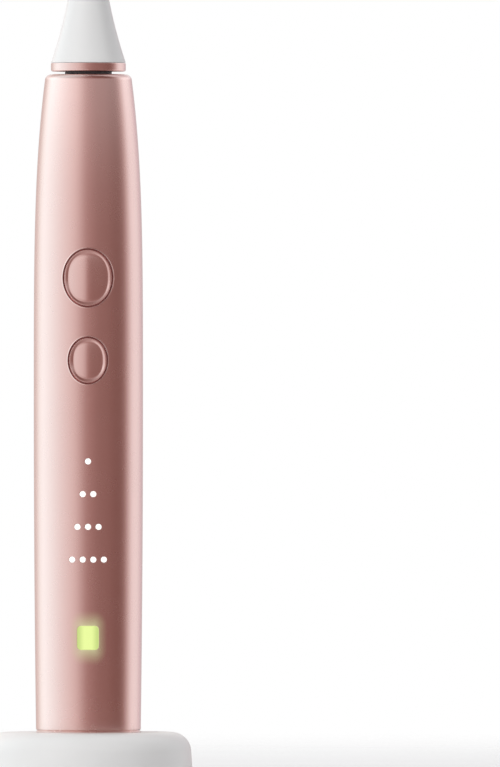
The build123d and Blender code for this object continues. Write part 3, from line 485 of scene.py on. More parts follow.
def lamp_phosphor():
    """Small lamp: white body with a yellow front."""
    finish, tree = new_finish("lamp_phosphor")
    facing = parts_of(tree, add(tree, "ShaderNodeNewGeometry").outputs["Normal"])["Y"]
    front = between(tree, facing, *LAMP_FRONT)
    speck = noise(tree, 6000.0)
    yellow = blend_colour(tree, speck, (0.80, 0.62, 0.10), (0.92, 0.76, 0.22))
    return dressed(
        finish, speck, 10 * MICRON,
        Base_Color=blend_colour(tree, front, (0.80, 0.80, 0.78), yellow),
        Roughness=varied(tree, speck, 0.35, 0.5),
    )


def bristle_nylon():
    """Fine nylon, a little clear, whiter towards the rounded tips."""
    finish, tree = new_finish("bristle_nylon_white")
    low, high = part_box("bristles")
    tip = between(tree, parts_of(tree, place(tree))["Y"], high.y, low.y)
    strand = streaks(tree, (4200.0, 60.0, 4200.0))
    root = blend_colour(tree, strand, (0.78, 0.78, 0.77), (0.86, 0.86, 0.85))
    return dressed(
        finish,
        Base_Color=blend_colour(tree, tip, root, (0.93, 0.93, 0.92)),
        Roughness=varied(tree, strand, 0.34, 0.46),
        Subsurface_Weight=0.7,
        Subsurface_Scale=0.6 * MM,
        Subsurface_Radius=(1.0, 1.0, 0.95),
    )


FINISHES = {
    "rose_shell": rose_lacquer("rose_lacquer", False),
    "rose_glow": rose_lacquer("rose_lacquer_by_window", True),
    # Dark rose finish on the floor of the keys' grooves and the wall under it: painted shade deep in the gap
    "key_gap": moulded("key_groove_painted_shade", (0.62, 0.22, 0.20), 0.7),
    "white_case": moulded(
        "case_white_gloss", (0.80, 0.80, 0.79), 0.3, drift=0.02, smudge=0.04, depth=1 * MICRON
    ),
    "grey_rubber": moulded("rubber_grey", (0.13, 0.13, 0.135), 0.72, grain=5200.0, depth=20 * MICRON),
    "black_rubber": moulded("rubber_black", (0.018, 0.018, 0.019), 0.6, grain=4200.0, depth=10 * MICRON),
    "silicone": moulded("silicone_milky", (0.62, 0.63, 0.64), 0.45, grain=2600.0, depth=6 * MICRON),
    "screw_steel": machined("screw_steel", (0.62, 0.61, 0.59), (0.40, 0.38, 0.35), 0.28),
    "ferrite": moulded(
        "ferrite_dark", (0.030, 0.030, 0.033), 0.62, drift=0.2, grain=7000.0, depth=20 * MICRON
    ),
    "bobbin_nylon": moulded("spool_nylon_natural", (0.66, 0.62, 0.52), 0.42),
    "copper_wire": copper_winding(),
    "circuit_board": board_green(),
    "black_chip": moulded("chip_resin_black", (0.016, 0.016, 0.018), 0.5, grain=8000.0, depth=10 * MICRON),
    "plunger_nylon": moulded("plunger_nylon_black", (0.030, 0.028, 0.028), 0.38),
    "chassis_grey": moulded("chassis_grey", (0.30, 0.31, 0.32), 0.48, drift=0.1, depth=10 * MICRON),
    "cell_wrap": cell_sleeve(),
    "nickel": machined("tab_nickel", (0.66, 0.63, 0.57), (0.50, 0.47, 0.42), 0.26),
    "foam": cushion_foam(),
    "lead_red": moulded("lead_red_silicone", (0.42, 0.020, 0.018), 0.4, grain=2200.0),
    "lamp": lamp_phosphor(),
    "light_guide": guide_light(),
    "green_window": charge_glow(),
    "motor_steel": machined("motor_can_steel", (0.56, 0.56, 0.56), (0.42, 0.41, 0.40), 0.32),
    "bush_bronze": machined(
        "bush_sintered_bronze", (0.60, 0.40, 0.20), (0.38, 0.22, 0.10), 0.5, depth=10 * MICRON
    ),
    "spring_steel": machined("spring_steel_blued", (0.36, 0.37, 0.40), (0.20, 0.20, 0.24), 0.24),
    "shaft_steel": machined("shaft_ground_steel", (0.70, 0.70, 0.70), (0.58, 0.58, 0.58), 0.18),
    "rotor_iron": machined("rotor_iron", (0.30, 0.29, 0.28), (0.22, 0.18, 0.15), 0.5, depth=10 * MICRON),
    "magnet": machined("magnet_plated", (0.60, 0.59, 0.57), (0.48, 0.47, 0.45), 0.3),
    "insert_acetal": moulded("insert_acetal_white", (0.74, 0.74, 0.72), 0.36),
    "bristle_nylon": bristle_nylon(),
}

# Each CAD node takes the finish of its slot in the record
for part in frame["record"]["subparts"]:
    materials = nodes[part["node"]].data.materials
    materials.clear()
    materials.append(FINISHES[part["material_slot"]])


# Fine meshes with worked-out normals

class Skin:
    """Points, faces, the normal at each corner of each face, and the number of each face's finish."""

    def __init__(self):
        self.points = []
        self.faces = []
        self.normals = []
        self.finishes = []
        self.finish = 0

    def ring(self, places):
        """Adds points and gives their numbers."""
        first = len(self.points)
        self.points.extend(tuple(p) for p in places)
        return list(range(first, len(self.points)))

    def spot(self, place):
        """Adds one point and gives its number."""
        return self.ring([place])[0]

    def face(self, corners):
        """Adds a face from (number, normal) pairs."""
        self.faces.append([number for number, normal in corners])
        self.normals.extend(tuple(normal) for number, normal in corners)
        self.finishes.append(self.finish)

    def band(self, ring, next_ring, normals, next_normals=None, gaps=()):
        """Closed band of faces between two rings, but for its gaps; a plain band has one set of normals."""
        near = list(zip(ring, normals))
        far = list(zip(next_ring, next_normals or normals))
        for m, corners in enumerate(zip(near, near[1:] + near[:1], far[1:] + far[:1], far)):
            if m not in gaps:
                self.face(corners)

    def bands(self, rings):
        """Bands through rings that come with their normals."""
        for (ring, normals), (next_ring, next_normals) in zip(rings, rings[1:]):
            self.band(ring, next_ring, normals, next_normals)

    def grow(self, ring, places, normals, next_normals=None):
        """Band from a ring to new places; gives the new ring and its normals."""
        following = self.ring(places)
        self.band(ring, following, normals, next_normals)
        return following, next_normals or normals

    def fan(self, ring, tip, normals, tip_normal, from_tip=False):
        """Closes a ring to one point."""
        near = list(zip(ring, normals))
        for corners in zip(near, near[1:] + near[:1], [(tip, tip_normal)] * len(ring)):
            self.face(corners[::-1] if from_tip else corners)

    def make(self, name, node, body, slot, *finishes):
        """The finished object, riding on its body in place of a CAD node."""
        mesh = bpy.data.meshes.new(name)
        mesh.from_pydata(self.points, [], self.faces)
        mesh.polygons.foreach_set("use_smooth", [True] * len(self.faces))
        mesh.polygons.foreach_set("material_index", self.finishes)
        mesh.normals_split_custom_set(self.normals)
        for finish in finishes:
            mesh.materials.append(FINISHES[finish])
        piece = bpy.data.objects.new(name, mesh)
        bpy.context.scene.collection.objects.link(piece)
        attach(piece, body)
        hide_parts(node)


COLUMNS = 128
COLUMN_TURN = 2 * math.pi / COLUMNS
ROW_STEP = 0.9 * MM
SAME = 1e-9    # heights that differ less are the same row


def circle(radius, z):
    """Ring of points about the axis, from the front towards +X."""
    return [Vector((radius * math.sin(a), -radius * math.cos(a), z)) for a in turns(COLUMNS)]


def around(out, up):
    """Ring of normals with a radial and an upward part."""
    return [n.normalized() for n in circle(out, up)]


def grip_point(x, z, inset=0.0):
    """Point on the front of the handle's form, inset by a depth all round."""
    radius = radius_at(z) - inset
    return Vector((x, -math.sqrt(radius * radius - x * x), z))


def side_normal(angle, z):
    """Outward normal of the handle's form; the angle counts from the front towards +X."""
    return Vector((math.sin(angle), -math.cos(angle), -lean_at(z))).normalized()


def grip_normal(x, z, inset=0.0):
    """Outward normal at a point on the front."""
    return side_normal(math.asin(x / (radius_at(z) - inset)), z)


def ellipse_edge(half):
    """Outline of an ellipse: place and outward direction for a direction (u, v) and a growth."""
    def at(u, v, grow):
        angle = math.atan2(v, u)
        wide, high = half[0] + grow, half[1] + grow
        spot = (wide * math.cos(angle), high * math.sin(angle))
        return spot, Vector((high * math.cos(angle), 0, wide * math.sin(angle))).normalized()
    return at


def rounded_edge(half, corner):
    """Outline of a rectangle with rounded corners, in the same form."""
    def at(u, v, grow):
        wide, high, arc = half[0] + grow, half[1] + grow, corner + grow
        dx, dz = wide * u, high * v
        size = max(abs(dx) / wide, abs(dz) / high)
        x, z = dx / size, dz / size
        cx, cz = math.copysign(wide - arc, x), math.copysign(high - arc, z)
        if abs(x) > wide - arc and abs(z) > high - arc:
            length = math.hypot(x, z)
            ex, ez = x / length, z / length
            along = ex * cx + ez * cz
            reach = along + math.sqrt(along * along - (cx * cx + cz * cz - arc * arc))
            x, z = ex * reach, ez * reach
            return (x, z), Vector((x - cx, 0, z - cz)).normalized()
        if abs(x) > wide - arc:
            return (x, z), Vector((math.copysign(1, x), 0, 0))
        return (x, z), Vector((0, 0, math.copysign(1, z)))
    return at


# Half widths, in columns, of the blocks that are left out of the grid round the holes
POWER_COLUMNS = 13
MODE_COLUMNS = 10
WINDOW_COLUMNS = 6
LIGHT_COLUMNS = 2

KEY_MARGIN = 1.0 * MM
LIGHT_MARGIN = 0.65 * MM
PATCH_STEPS = 3
FILLET_STEPS = 5
TOP_STEPS = 8
HOLE_EDGE_R = 0.1 * MM
WINDOW_EDGE_R = 0.12 * MM
LIGHT_EDGE_R = 0.08 * MM
HOLE_BEAD_W = 0.22 * MM    # raised bead round the keys' holes
BEAD_LEAN = 0.5
BEAD_STEPS = 6


class Opening:
    """A hole in the front of the handle, and the block of the grid that is left out round it."""

    def __init__(self, edge, x, z, rise, reach, fillet, bead=0.0, middle=0):
        self.edge, self.x, self.z = edge, x, z
        self.columns = (middle - reach, middle + reach)
        self.low, self.high = z - rise, z + rise
        self.fillet, self.bead = fillet, bead


def handle_openings():
    """Every hole in the front of the handle."""
    holes = [
        Opening(ellipse_edge(half), 0, z, half[1] + KEY_MARGIN, reach, HOLE_EDGE_R, HOLE_BEAD_W)
        for half, z, reach in ((POWER_HALF, POWER_Z, POWER_COLUMNS), (MODE_HALF, MODE_Z, MODE_COLUMNS))
    ]
    window = rounded_edge(WINDOW_HALF, WINDOW_CORNER)
    holes.append(Opening(window, 0, WINDOW_Z, WINDOW_HALF[1] + KEY_MARGIN, WINDOW_COLUMNS, WINDOW_EDGE_R))
    light = ellipse_edge((LIGHT_R, LIGHT_R))
    for row in range(ROW_COUNT):
        z = FIRST_ROW_Z - row * ROW_PITCH
        for i in range(row + 1):
            x = (i - row / 2) * LIGHT_PITCH
            middle = (2 * i - row) * LIGHT_COLUMNS
            holes.append(
                Opening(light, x, z, LIGHT_R + LIGHT_MARGIN, LIGHT_COLUMNS, LIGHT_EDGE_R, middle=middle)
            )
    return holes


def row_heights(openings):
    """Heights of the grid's rows: the blocks' edges, and even steps between them."""
    top = HANDLE_TOP - TOP_EDGE_R
    marks = sorted({SHELL_Z + SEAM, top} | {o.low for o in openings} | {o.high for o in openings})
    heights = []
    for low, high in zip(marks, marks[1:]):
        heights += spread(low, high, max(1, math.ceil((high - low) / ROW_STEP)))
    return heights + [top]


def opening_rings(skin, opening, outer, inner, heights):
    """Faces from the grid to a hole, over its rounded edge, through the wall and back to the inner grid."""
    left, right = opening.columns
    rows = [j for j, z in enumerate(heights) if opening.low - SAME <= z <= opening.high + SAME]
    low, high = rows[0], rows[-1]
    border = [(i, low) for i in range(left, right)] + [(right, j) for j in range(low, high)]
    border += [(i, high) for i in range(right, left, -1)] + [(left, j) for j in range(high, low, -1)]
    aims = [
        ((2 * i - left - right) / (right - left), (2 * j - low - high) / (high - low)) for i, j in border
    ]
    sides = [opening.edge(u, v, 0.0)[1] for u, v in aims]
    border_normals = [side_normal(i * COLUMN_TURN, heights[j]) for i, j in border]

    def spots(grow):
        """Places (x, z) along the hole's edge."""
        found = [opening.edge(u, v, grow)[0] for u, v in aims]
        return [(opening.x + dx, opening.z + dz) for dx, dz in found]

    def edge_places(grow, depth):
        """Ring along the hole's edge."""
        return [grip_point(x, z) - FRONT * depth for x, z in spots(grow)]

    def patch(grow, inset, grid):
        """Rings from the grid's border to the hole's edge, on one face of the wall."""
        rings = [([grid[j][i % COLUMNS] for i, j in border], border_normals)]
        for k in range(1, PATCH_STEPS + 1):
            share = k / PATCH_STEPS
            places, normals = [], []
            for (i, j), (end_x, end_z) in zip(border, spots(grow)):
                z = heights[j] * (1 - share) + end_z * share
                end = math.asin(end_x / (radius_at(end_z) - inset))
                angle = i * COLUMN_TURN * (1 - share) + end * share
                x = (radius_at(z) - inset) * math.sin(angle)
                places.append(grip_point(x, z, inset))
                normals.append(grip_normal(x, z, inset))
            rings.append((skin.ring(places), normals))
        return rings

    outside = patch(opening.fillet + opening.bead, 0.0, outer)
    skin.bands(outside)
    ring, face_normals = outside[-1]
    normals = face_normals
    bead_h = opening.bead * BEAD_LEAN * 2 / 3
    for k in range(1, BEAD_STEPS + 1 if opening.bead else 1):
        share = k / BEAD_STEPS
        rise = bead_h * share * share * (3 - 2 * share)
        lean = 4 * BEAD_LEAN * share * (1 - share)
        places = edge_places(opening.fillet + opening.bead * (1 - share), -rise)
        turned = [(n + side * lean).normalized() for n, side in zip(face_normals, sides)]
        ring, normals = skin.grow(ring, places, normals, turned)
    for k in range(1, FILLET_STEPS + 1):
        turn = math.pi / 2 * k / FILLET_STEPS
        ahead, inward = math.cos(turn), math.sin(turn)
        places = edge_places(opening.fillet * (1 - inward), opening.fillet * (1 - ahead) - bead_h)
        turned = [(n * ahead - side * inward).normalized() for n, side in zip(face_normals, sides)]
        ring, normals = skin.grow(ring, places, normals, turned)
    inside = [(numbers, [-n for n in facing]) for numbers, facing in patch(0.0, WALL, inner)][::-1]
    skin.band(ring, inside[0][0], [-side for side in sides])
    skin.bands(inside)


def make_shell():
    """Handle's casing: side with its holes, rounded top, nose bore and foot seam."""
    skin = Skin()
    holes = handle_openings()
    heights = row_heights(holes)
    taken = [set() for z in heights]
    for hole in holes:
        for columns, z in zip(taken, heights):
            if hole.low - SAME <= z < hole.high - SAME:
                columns.update(i % COLUMNS for i in range(*hole.columns))
    outer = [skin.ring(circle(radius_at(z), z)) for z in heights]
    inner = [skin.ring(circle(radius_at(z) - WALL, z)) for z in heights]
    for j, pair in enumerate(zip(heights, heights[1:])):
        below, above = (around(1, -lean_at(z)) for z in pair)
        skin.band(outer[j], outer[j + 1], below, above, taken[j])
        skin.band(inner[j + 1], inner[j], [-n for n in above], [-n for n in below], taken[j])
    for hole in holes:
        opening_rings(skin, hole, outer, inner, heights)
    # Rounded top, nose bore and underside of the top wall
    edge_z = heights[-1]
    ring, normals = outer[-1], around(1, -lean_at(edge_z))
    shoulder = radius_at(edge_z) - TOP_EDGE_R
    for k in range(1, TOP_STEPS + 1):
        turn = math.pi / 2 * k / TOP_STEPS
        out, up = math.cos(turn), math.sin(turn)
        places = circle(shoulder + TOP_EDGE_R * out, edge_z + TOP_EDGE_R * up)
        ring, normals = skin.grow(ring, places, normals, around(out, up))
    upward, downward, inward = around(0, 1), around(0, -1), around(-1, 0)
    under = HANDLE_TOP - TOP_WALL
    lip = skin.grow(ring, circle(NOSE_BORE_R, HANDLE_TOP), upward)[0]
    lip_under = skin.grow(lip, circle(NOSE_BORE_R, under), inward)[0]
    roof = skin.grow(lip_under, circle(radius_at(under) - WALL, under), downward)[0]
    skin.band(roof, inner[-1], around(-1, lean_at(under)))
    # Seam at the foot
    back = skin.grow(inner[0], circle(radius_at(SHELL_Z) - WALL, SHELL_Z), inward)[0]
    edge = skin.grow(back, circle(radius_at(SHELL_Z) - SEAM, SHELL_Z), downward)[0]
    skin.band(edge, outer[0], around(1, -1))
    skin.make("handle_shell_fine", "handle_shell", "handle", "rose_shell", "rose_glow")


KEY_POINTS = 96
KEY_GAP = 0.4 * MM
# Rib round the key's face: millimetres in from the key's edge, and how fast the surface falls inwards
KEY_RIB = [
    (0.0, -1.5), (0.03, -0.6), (0.06, 0.1), (0.10, 0.32), (0.32, 0.34), (0.42, 0.58), (0.86, 0.60),
    (0.97, 0.30), (1.06, 0.0),
]
RIB_RISE = 0.04 * MM     # from the rib's outer edge to its crest
SHELF_D = 0.75 * MM      # how deep the groove's floor lies, which carries the dark painted shade
SHELF_CLEAR = 0.06 * MM
OVAL = 2.0
FACE_SQUARE = 2.4        # squareness of the face's outline, where an oval has 2
FACE_RINGS = 10
CROWN_LEAN = 0.12        # how far the face leans away from its middle line, over the handle's own curve
CROWN_SOFT = 0.8 * MM    # rounding of that line
CROWN_EVEN = 0.3         # how much of its lean along the handle is seen
KEY_LIP = 0.9 * MM
KEY_LIP_T = 0.9 * MM
KEY_CLEAR = 0.1 * MM
STEM_R = 2.0 * MM
# The second finish is the dark painted shade in the groove
KEY_FINISH, GROOVE_SHADE_FINISH = 0, 1


def make_key(node, half, z, body):
    """A key: stem, flange, groove floor with a dark finish as painted shade, side, rib and crowned face."""
    skin = Skin()
    aims = turns(KEY_POINTS)
    stem_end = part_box(node)[1].y
    stem = (STEM_R, STEM_R)
    flange, shelf, key = ([side + more for side in half] for more in (KEY_LIP, -SHELF_CLEAR, -KEY_GAP))
    seat = WALL + KEY_CLEAR
    under = seat + KEY_LIP_T

    def spots(square):
        """Outline of half width and half height 1."""
        found = []
        for a in aims:
            across, up = math.cos(a), math.sin(a)
            reach = (abs(across) ** square + abs(up) ** square) ** (-1 / square)
            found.append((across * reach, up * reach))
        return found

    def outline(semi, inset, depth=0.0, square=OVAL):
        """Ring on the handle's form, or sunk into it."""
        return [grip_point(semi[0] * x, z + semi[1] * y, inset) - FRONT * depth for x, y in spots(square)]

    def sides(semi, square=OVAL):
        """Normals across the handle's front, away from the key's middle."""
        leans = [[math.copysign(abs(part) ** (square - 1), part) for part in spot] for spot in spots(square)]
        return [Vector((x / semi[0], 0, y / semi[1])).normalized() for x, y in leans]

    def faces(semi, inset, square=OVAL):
        """Normals of the handle's form."""
        return [grip_normal(semi[0] * x, z + semi[1] * y, inset) for x, y in spots(square)]

    def backs(semi):
        """Normals of the flange's back."""
        return [-n for n in faces(semi, under)]

    def tilted(semi, lean, square=OVAL):
        """Normals of the rib, leaning inwards."""
        pairs = zip(faces(semi, 0, square), sides(semi, square))
        return [(n - side * lean).normalized() for n, side in pairs]

    tip = skin.spot((0, stem_end, z))
    ring = skin.ring([(STEM_R * math.cos(a), stem_end, z + STEM_R * math.sin(a)) for a in aims])
    skin.fan(ring, tip, [-FRONT] * KEY_POINTS, -FRONT, from_tip=True)
    # Bands up to the rib: finish, places they lead to, and their normals
    for finish, places, *normals in (
        (KEY_FINISH, outline(stem, under), sides(stem)),
        (KEY_FINISH, outline(flange, under), backs(stem), backs(flange)),
        (KEY_FINISH, outline(flange, seat), sides(flange)),
        (KEY_FINISH, outline(shelf, seat), faces(flange, WALL), faces(shelf, WALL)),
        # The groove's wall and floor take the dark finish: painted shade in the gap
        (GROOVE_SHADE_FINISH, outline(shelf, 0, SHELF_D), sides(shelf)),
        (GROOVE_SHADE_FINISH, outline(key, 0, SHELF_D), faces(shelf, 0), faces(key, 0)),
        (KEY_FINISH, outline(key, 0, RIB_RISE), sides(key)),
    ):
        skin.finish = finish
        ring = skin.grow(ring, places, *normals)[0]
    # Rib
    (inset, lean), *stops = KEY_RIB
    depth = RIB_RISE
    normals = tilted(key, lean)
    for far, next_lean in stops:
        depth += (far - inset) * MM * (lean + next_lean) / 2
        inset, lean = far, next_lean
        semi = [side - inset * MM for side in key]
        square = OVAL + (FACE_SQUARE - OVAL) * inset / KEY_RIB[-1][0]
        places = outline(semi, 0, depth, square)
        ring, normals = skin.grow(ring, places, normals, tilted(semi, lean, square))
    # Face, crowned about its upright middle line
    face_half = semi

    def bend(x):
        """How far the crown falls away beside the middle line."""
        return CROWN_LEAN * CROWN_SOFT * math.log(math.cosh(x / CROWN_SOFT))

    def crowned(x, up):
        """Point and normal of the face; up is from the key's middle."""
        high = abs(up) / face_half[1]
        wide = (1 - high ** FACE_SQUARE) ** (1 / FACE_SQUARE)
        reach = face_half[0] * wide
        rise = bend(reach) - bend(x)
        narrowing = math.copysign(face_half[0] / face_half[1] * (high / wide) ** (FACE_SQUARE - 1), up)
        lean_x = CROWN_LEAN * math.tanh(x / CROWN_SOFT)
        lean_z = CROWN_LEAN * math.tanh(reach / CROWN_SOFT) * narrowing * CROWN_EVEN
        level = grip_normal(x, z + up)
        normal = (level / -level.y + Vector((lean_x, 0, lean_z))).normalized()
        return grip_point(x, z + up) - FRONT * (depth - rise), normal

    for k in range(FACE_RINGS - 1, 0, -1):
        share = k / FACE_RINGS
        dome = [crowned(face_half[0] * share * x, face_half[1] * share * y) for x, y in spots(FACE_SQUARE)]
        places, domed = zip(*dome)
        ring, normals = skin.grow(ring, places, normals, domed)
    point, normal = crowned(0, 0)
    skin.fan(ring, skin.spot(point), normals, normal)
    skin.make(node + "_fine", node, body, "rose_shell", "rose_shell", "key_gap")


make_shell()
make_key("power_button", POWER_HALF, POWER_Z, "power_key")
make_key("mode_button", MODE_HALF, MODE_Z, "mode_key")


# Brush head's body

HEAD_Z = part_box("brush_ring")[0].z
HEAD_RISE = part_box("brush_body")[1].z - HEAD_Z
HEAD_BASE_R = 9.6 * MM
HEAD_RING_H = 2.2 * MM
HEAD_BASE_EDGE_R = 0.2 * MM
NECK_R = 3.3 * MM
NECK_L = 38.0 * MM
NECK_POWER = 1.9
HEAD_HALF_W = 6.1 * MM
HEAD_HALF_T = 2.7 * MM
HEAD_MIDDLE = 58.0 * MM
HEAD_HALF_L = HEAD_RISE - HEAD_MIDDLE
HEAD_POWER = 2.6
TIP_THIN = 0.6           # share of the thickness that is gone at the tip
TIP_THIN_POWER = 4
TIP_ROUND = 40           # how late the tip is rounded off
SWELL_END = -0.62        # where the neck has swelled to the head, as a share of the head's half length
SWELL_RISE = HEAD_MIDDLE + SWELL_END * HEAD_HALF_L
HEAD_FACE = 1.7 * MM     # from the axis forward to the flat that holds the bristles
FACE_START = 45.2 * MM
FACE_EDGE_R = 0.9 * MM
FACE_SOFT = 0.5 * MM
INSERT_R = 3.22 * MM
INSERT_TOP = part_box("brush_insert")[1].z
CAVITY_R = 6.6 * MM
CAVITY_H = 9.0 * MM
SKIRT_R = 7.4 * MM
SKIRT_GAP = 0.1 * MM
NECK_ROWS = 48
SWELL_ROWS = 40
HEAD_ROWS = 56
NUDGE = 0.02 * MM        # small steps by which slopes are found
NUDGE_TURN = 0.002


def head_share(rise):
    """Height in the head: -1 at its root, 0 at its middle and 1 at its tip."""
    return (rise - HEAD_MIDDLE) / HEAD_HALF_L


def head_width(share):
    """Half width of the head, a squarish oval."""
    return HEAD_HALF_W * max(0.0, 1 - abs(share) ** HEAD_POWER) ** (1 / HEAD_POWER)


def head_depth(share):
    """Half thickness of the head, thinner and rounded off at the tip."""
    ahead = max(0.0, share)
    thin = HEAD_HALF_T * (1 - TIP_THIN * ahead ** TIP_THIN_POWER)
    return thin * math.sqrt(max(0.0, 1 - ahead ** TIP_ROUND))


def section(rise):
    """Half width and half thickness of the neck and the head at a height above the base."""
    if rise <= NECK_L:
        left = 1 - (rise - HEAD_RING_H) / (NECK_L - HEAD_RING_H)
        radius = NECK_R + (HEAD_BASE_R - NECK_R) * left ** NECK_POWER
        return radius, radius
    share = head_share(rise)
    if share >= SWELL_END:
        return head_width(share), head_depth(share)
    length = SWELL_RISE - NECK_L
    t = (rise - NECK_L) / length
    ease = t * t * (3 - 2 * t)
    slope = (head_width(head_share(SWELL_RISE + NUDGE)) - head_width(SWELL_END)) / NUDGE
    pull = t * t * (t - 1) * length * slope
    return NECK_R + (head_width(SWELL_END) - NECK_R) * ease + pull, NECK_R + (HEAD_HALF_T - NECK_R) * ease


def soft_least(first, second, blend):
    """The lesser of two lengths, with a rounded change from one to the other."""
    overlap = max(0.0, blend - abs(first - second)) / blend
    return min(first, second) - overlap * overlap * blend / 4


def head_point(angle, rise):
    """Point on the brush head's skin, its angle counted from the front towards +X."""
    half_w, half_t = section(rise)
    x, y = half_w * math.sin(angle), -half_t * math.cos(angle)
    if y < 0:
        below = FACE_START - rise
        y = -soft_least(-y, HEAD_FACE + (below + math.hypot(below, FACE_SOFT)) / 2, FACE_EDGE_R)
    return Vector((x, y, HEAD_Z + rise))


def head_normal(angle, rise):
    """Outward normal there, from points close by."""
    low, high = rise - NUDGE, min(rise + NUDGE, HEAD_RISE)
    across = head_point(angle + NUDGE_TURN, rise) - head_point(angle - NUDGE_TURN, rise)
    return across.cross(head_point(angle, high) - head_point(angle, low)).normalized()


def make_brush_body():
    """White body of the brush head: hollow base, drawn-in neck and flat-faced head with a rounded tip."""
    skin = Skin()
    angles = turns(COLUMNS)
    base = HEAD_Z + HEAD_RING_H
    inside = [
        (INSERT_R, INSERT_TOP), (INSERT_R, HEAD_Z + CAVITY_H), (CAVITY_R, HEAD_Z + CAVITY_H),
        (CAVITY_R, HEAD_Z + SKIRT_GAP), (SKIRT_R, HEAD_Z + SKIRT_GAP), (SKIRT_R, base),
        (HEAD_BASE_R - HEAD_BASE_EDGE_R, base),
    ]
    roof = skin.spot((0, 0, INSERT_TOP))
    ring = skin.ring(circle(*inside[0]))
    skin.fan(ring, roof, around(0, -1), Vector((0, 0, -1)), from_tip=True)
    for (r, z), (next_r, next_z) in zip(inside, inside[1:]):
        flat = around(next_z - z, r - next_r)
        ring = skin.grow(ring, circle(next_r, next_z), flat)[0]
    start = HEAD_RING_H + HEAD_BASE_EDGE_R
    rises = spread(start, NECK_L, NECK_ROWS) + spread(NECK_L, SWELL_RISE, SWELL_ROWS)
    left = HEAD_RISE - SWELL_RISE
    rises += [SWELL_RISE + left * math.sin(a) for a in spread(0, math.pi / 2, HEAD_ROWS)]
    normals = around(1, -1)
    for rise in rises:
        places = [head_point(a, rise) for a in angles]
        ring, normals = skin.grow(ring, places, normals, [head_normal(a, rise) for a in angles])
    skin.fan(ring, skin.spot((0, 0, HEAD_Z + HEAD_RISE)), normals, Vector((0, 0, 1)))
    skin.make("brush_body_fine", "brush_body", "brush_head", "white_case", "white_case")


make_brush_body()


# Bristles

SEED = 7
FILAMENT_R = 0.11 * MM
FILAMENT_SIDES = 6
FILAMENT_PITCH = 0.23 * MM
# Rings of a filament: share of its length, distance from there, and share of its width
FILAMENT_STOPS = [
    (0.0, -0.3 * MM, 1.0), (0.55, 0.0, 1.0), (1.0, -0.14 * MM, 0.92), (1.0, -0.04 * MM, 0.6),
]
TIP_LEAN = 2.0           # how fast the normals turn forward as a filament narrows
TUFT_R = 0.84 * MM
TUFT_PITCH = 1.84 * MM
TUFT_RING_PITCH = 2.02 * MM
TUFT_EDGE = 0.95 * MM
TRACK_POINTS = 720
BACKING_T = 0.78 * MM
BACKING_PROUD = 0.14 * MM
BACKING_EDGE = 0.1 * MM
BACKING_POINTS = 96
BRISTLE_L = 9.6 * MM
BRISTLE_WAVE = 0.8 * MM
SPLAY = 0.26 * MM
SPLAY_POWER = 1.6
STRAY = 0.03 * MM        # how unevenly the filaments lean
RAGGED = 0.05 * MM       # how unevenly they are cut


def evenly(track, pitch):
    """An even number of places at even steps round a closed track of points, half a step from its start."""
    lengths = [0.0]
    for (x, z), (next_x, next_z) in zip(track, track[1:]):
        lengths.append(lengths[-1] + math.hypot(next_x - x, next_z - z))
    count = 2 * round(lengths[-1] / pitch / 2)
    spots, k = [], 0
    for i in range(count):
        while lengths[k] < lengths[-1] * (i + 0.5) / count:
            k += 1
        spots.append(track[k])
    return spots


def tuft_places(half_w, half_h):
    """Places (x, z) of the tufts about the middle of the backing: oval rings and a line up the middle."""
    track_turns = turns(TRACK_POINTS) + [2 * math.pi]
    wide, high = half_w - TUFT_EDGE, half_h - TUFT_EDGE
    spots = []
    while wide > TUFT_R:
        spots += evenly([(wide * math.sin(t), high * math.cos(t)) for t in track_turns], TUFT_PITCH)
        wide, high = wide - TUFT_RING_PITCH, high - TUFT_RING_PITCH
    gaps = round(2 * high / TUFT_PITCH)
    return spots + [(0.0, high * (2 * i / gaps - 1)) for i in range(gaps + 1)]


def filament_places():
    """Places of the filaments in a tuft, packed closely in a circle."""
    reach = math.ceil(TUFT_R / FILAMENT_PITCH)
    spots = []
    for row in range(-reach, reach + 1):
        for column in range(-reach, reach + 1):
            x = (column + row / 2) * FILAMENT_PITCH
            z = row * FILAMENT_PITCH * math.sqrt(3) / 2
            if math.hypot(x, z) <= TUFT_R:
                spots.append((x, z))
    return spots


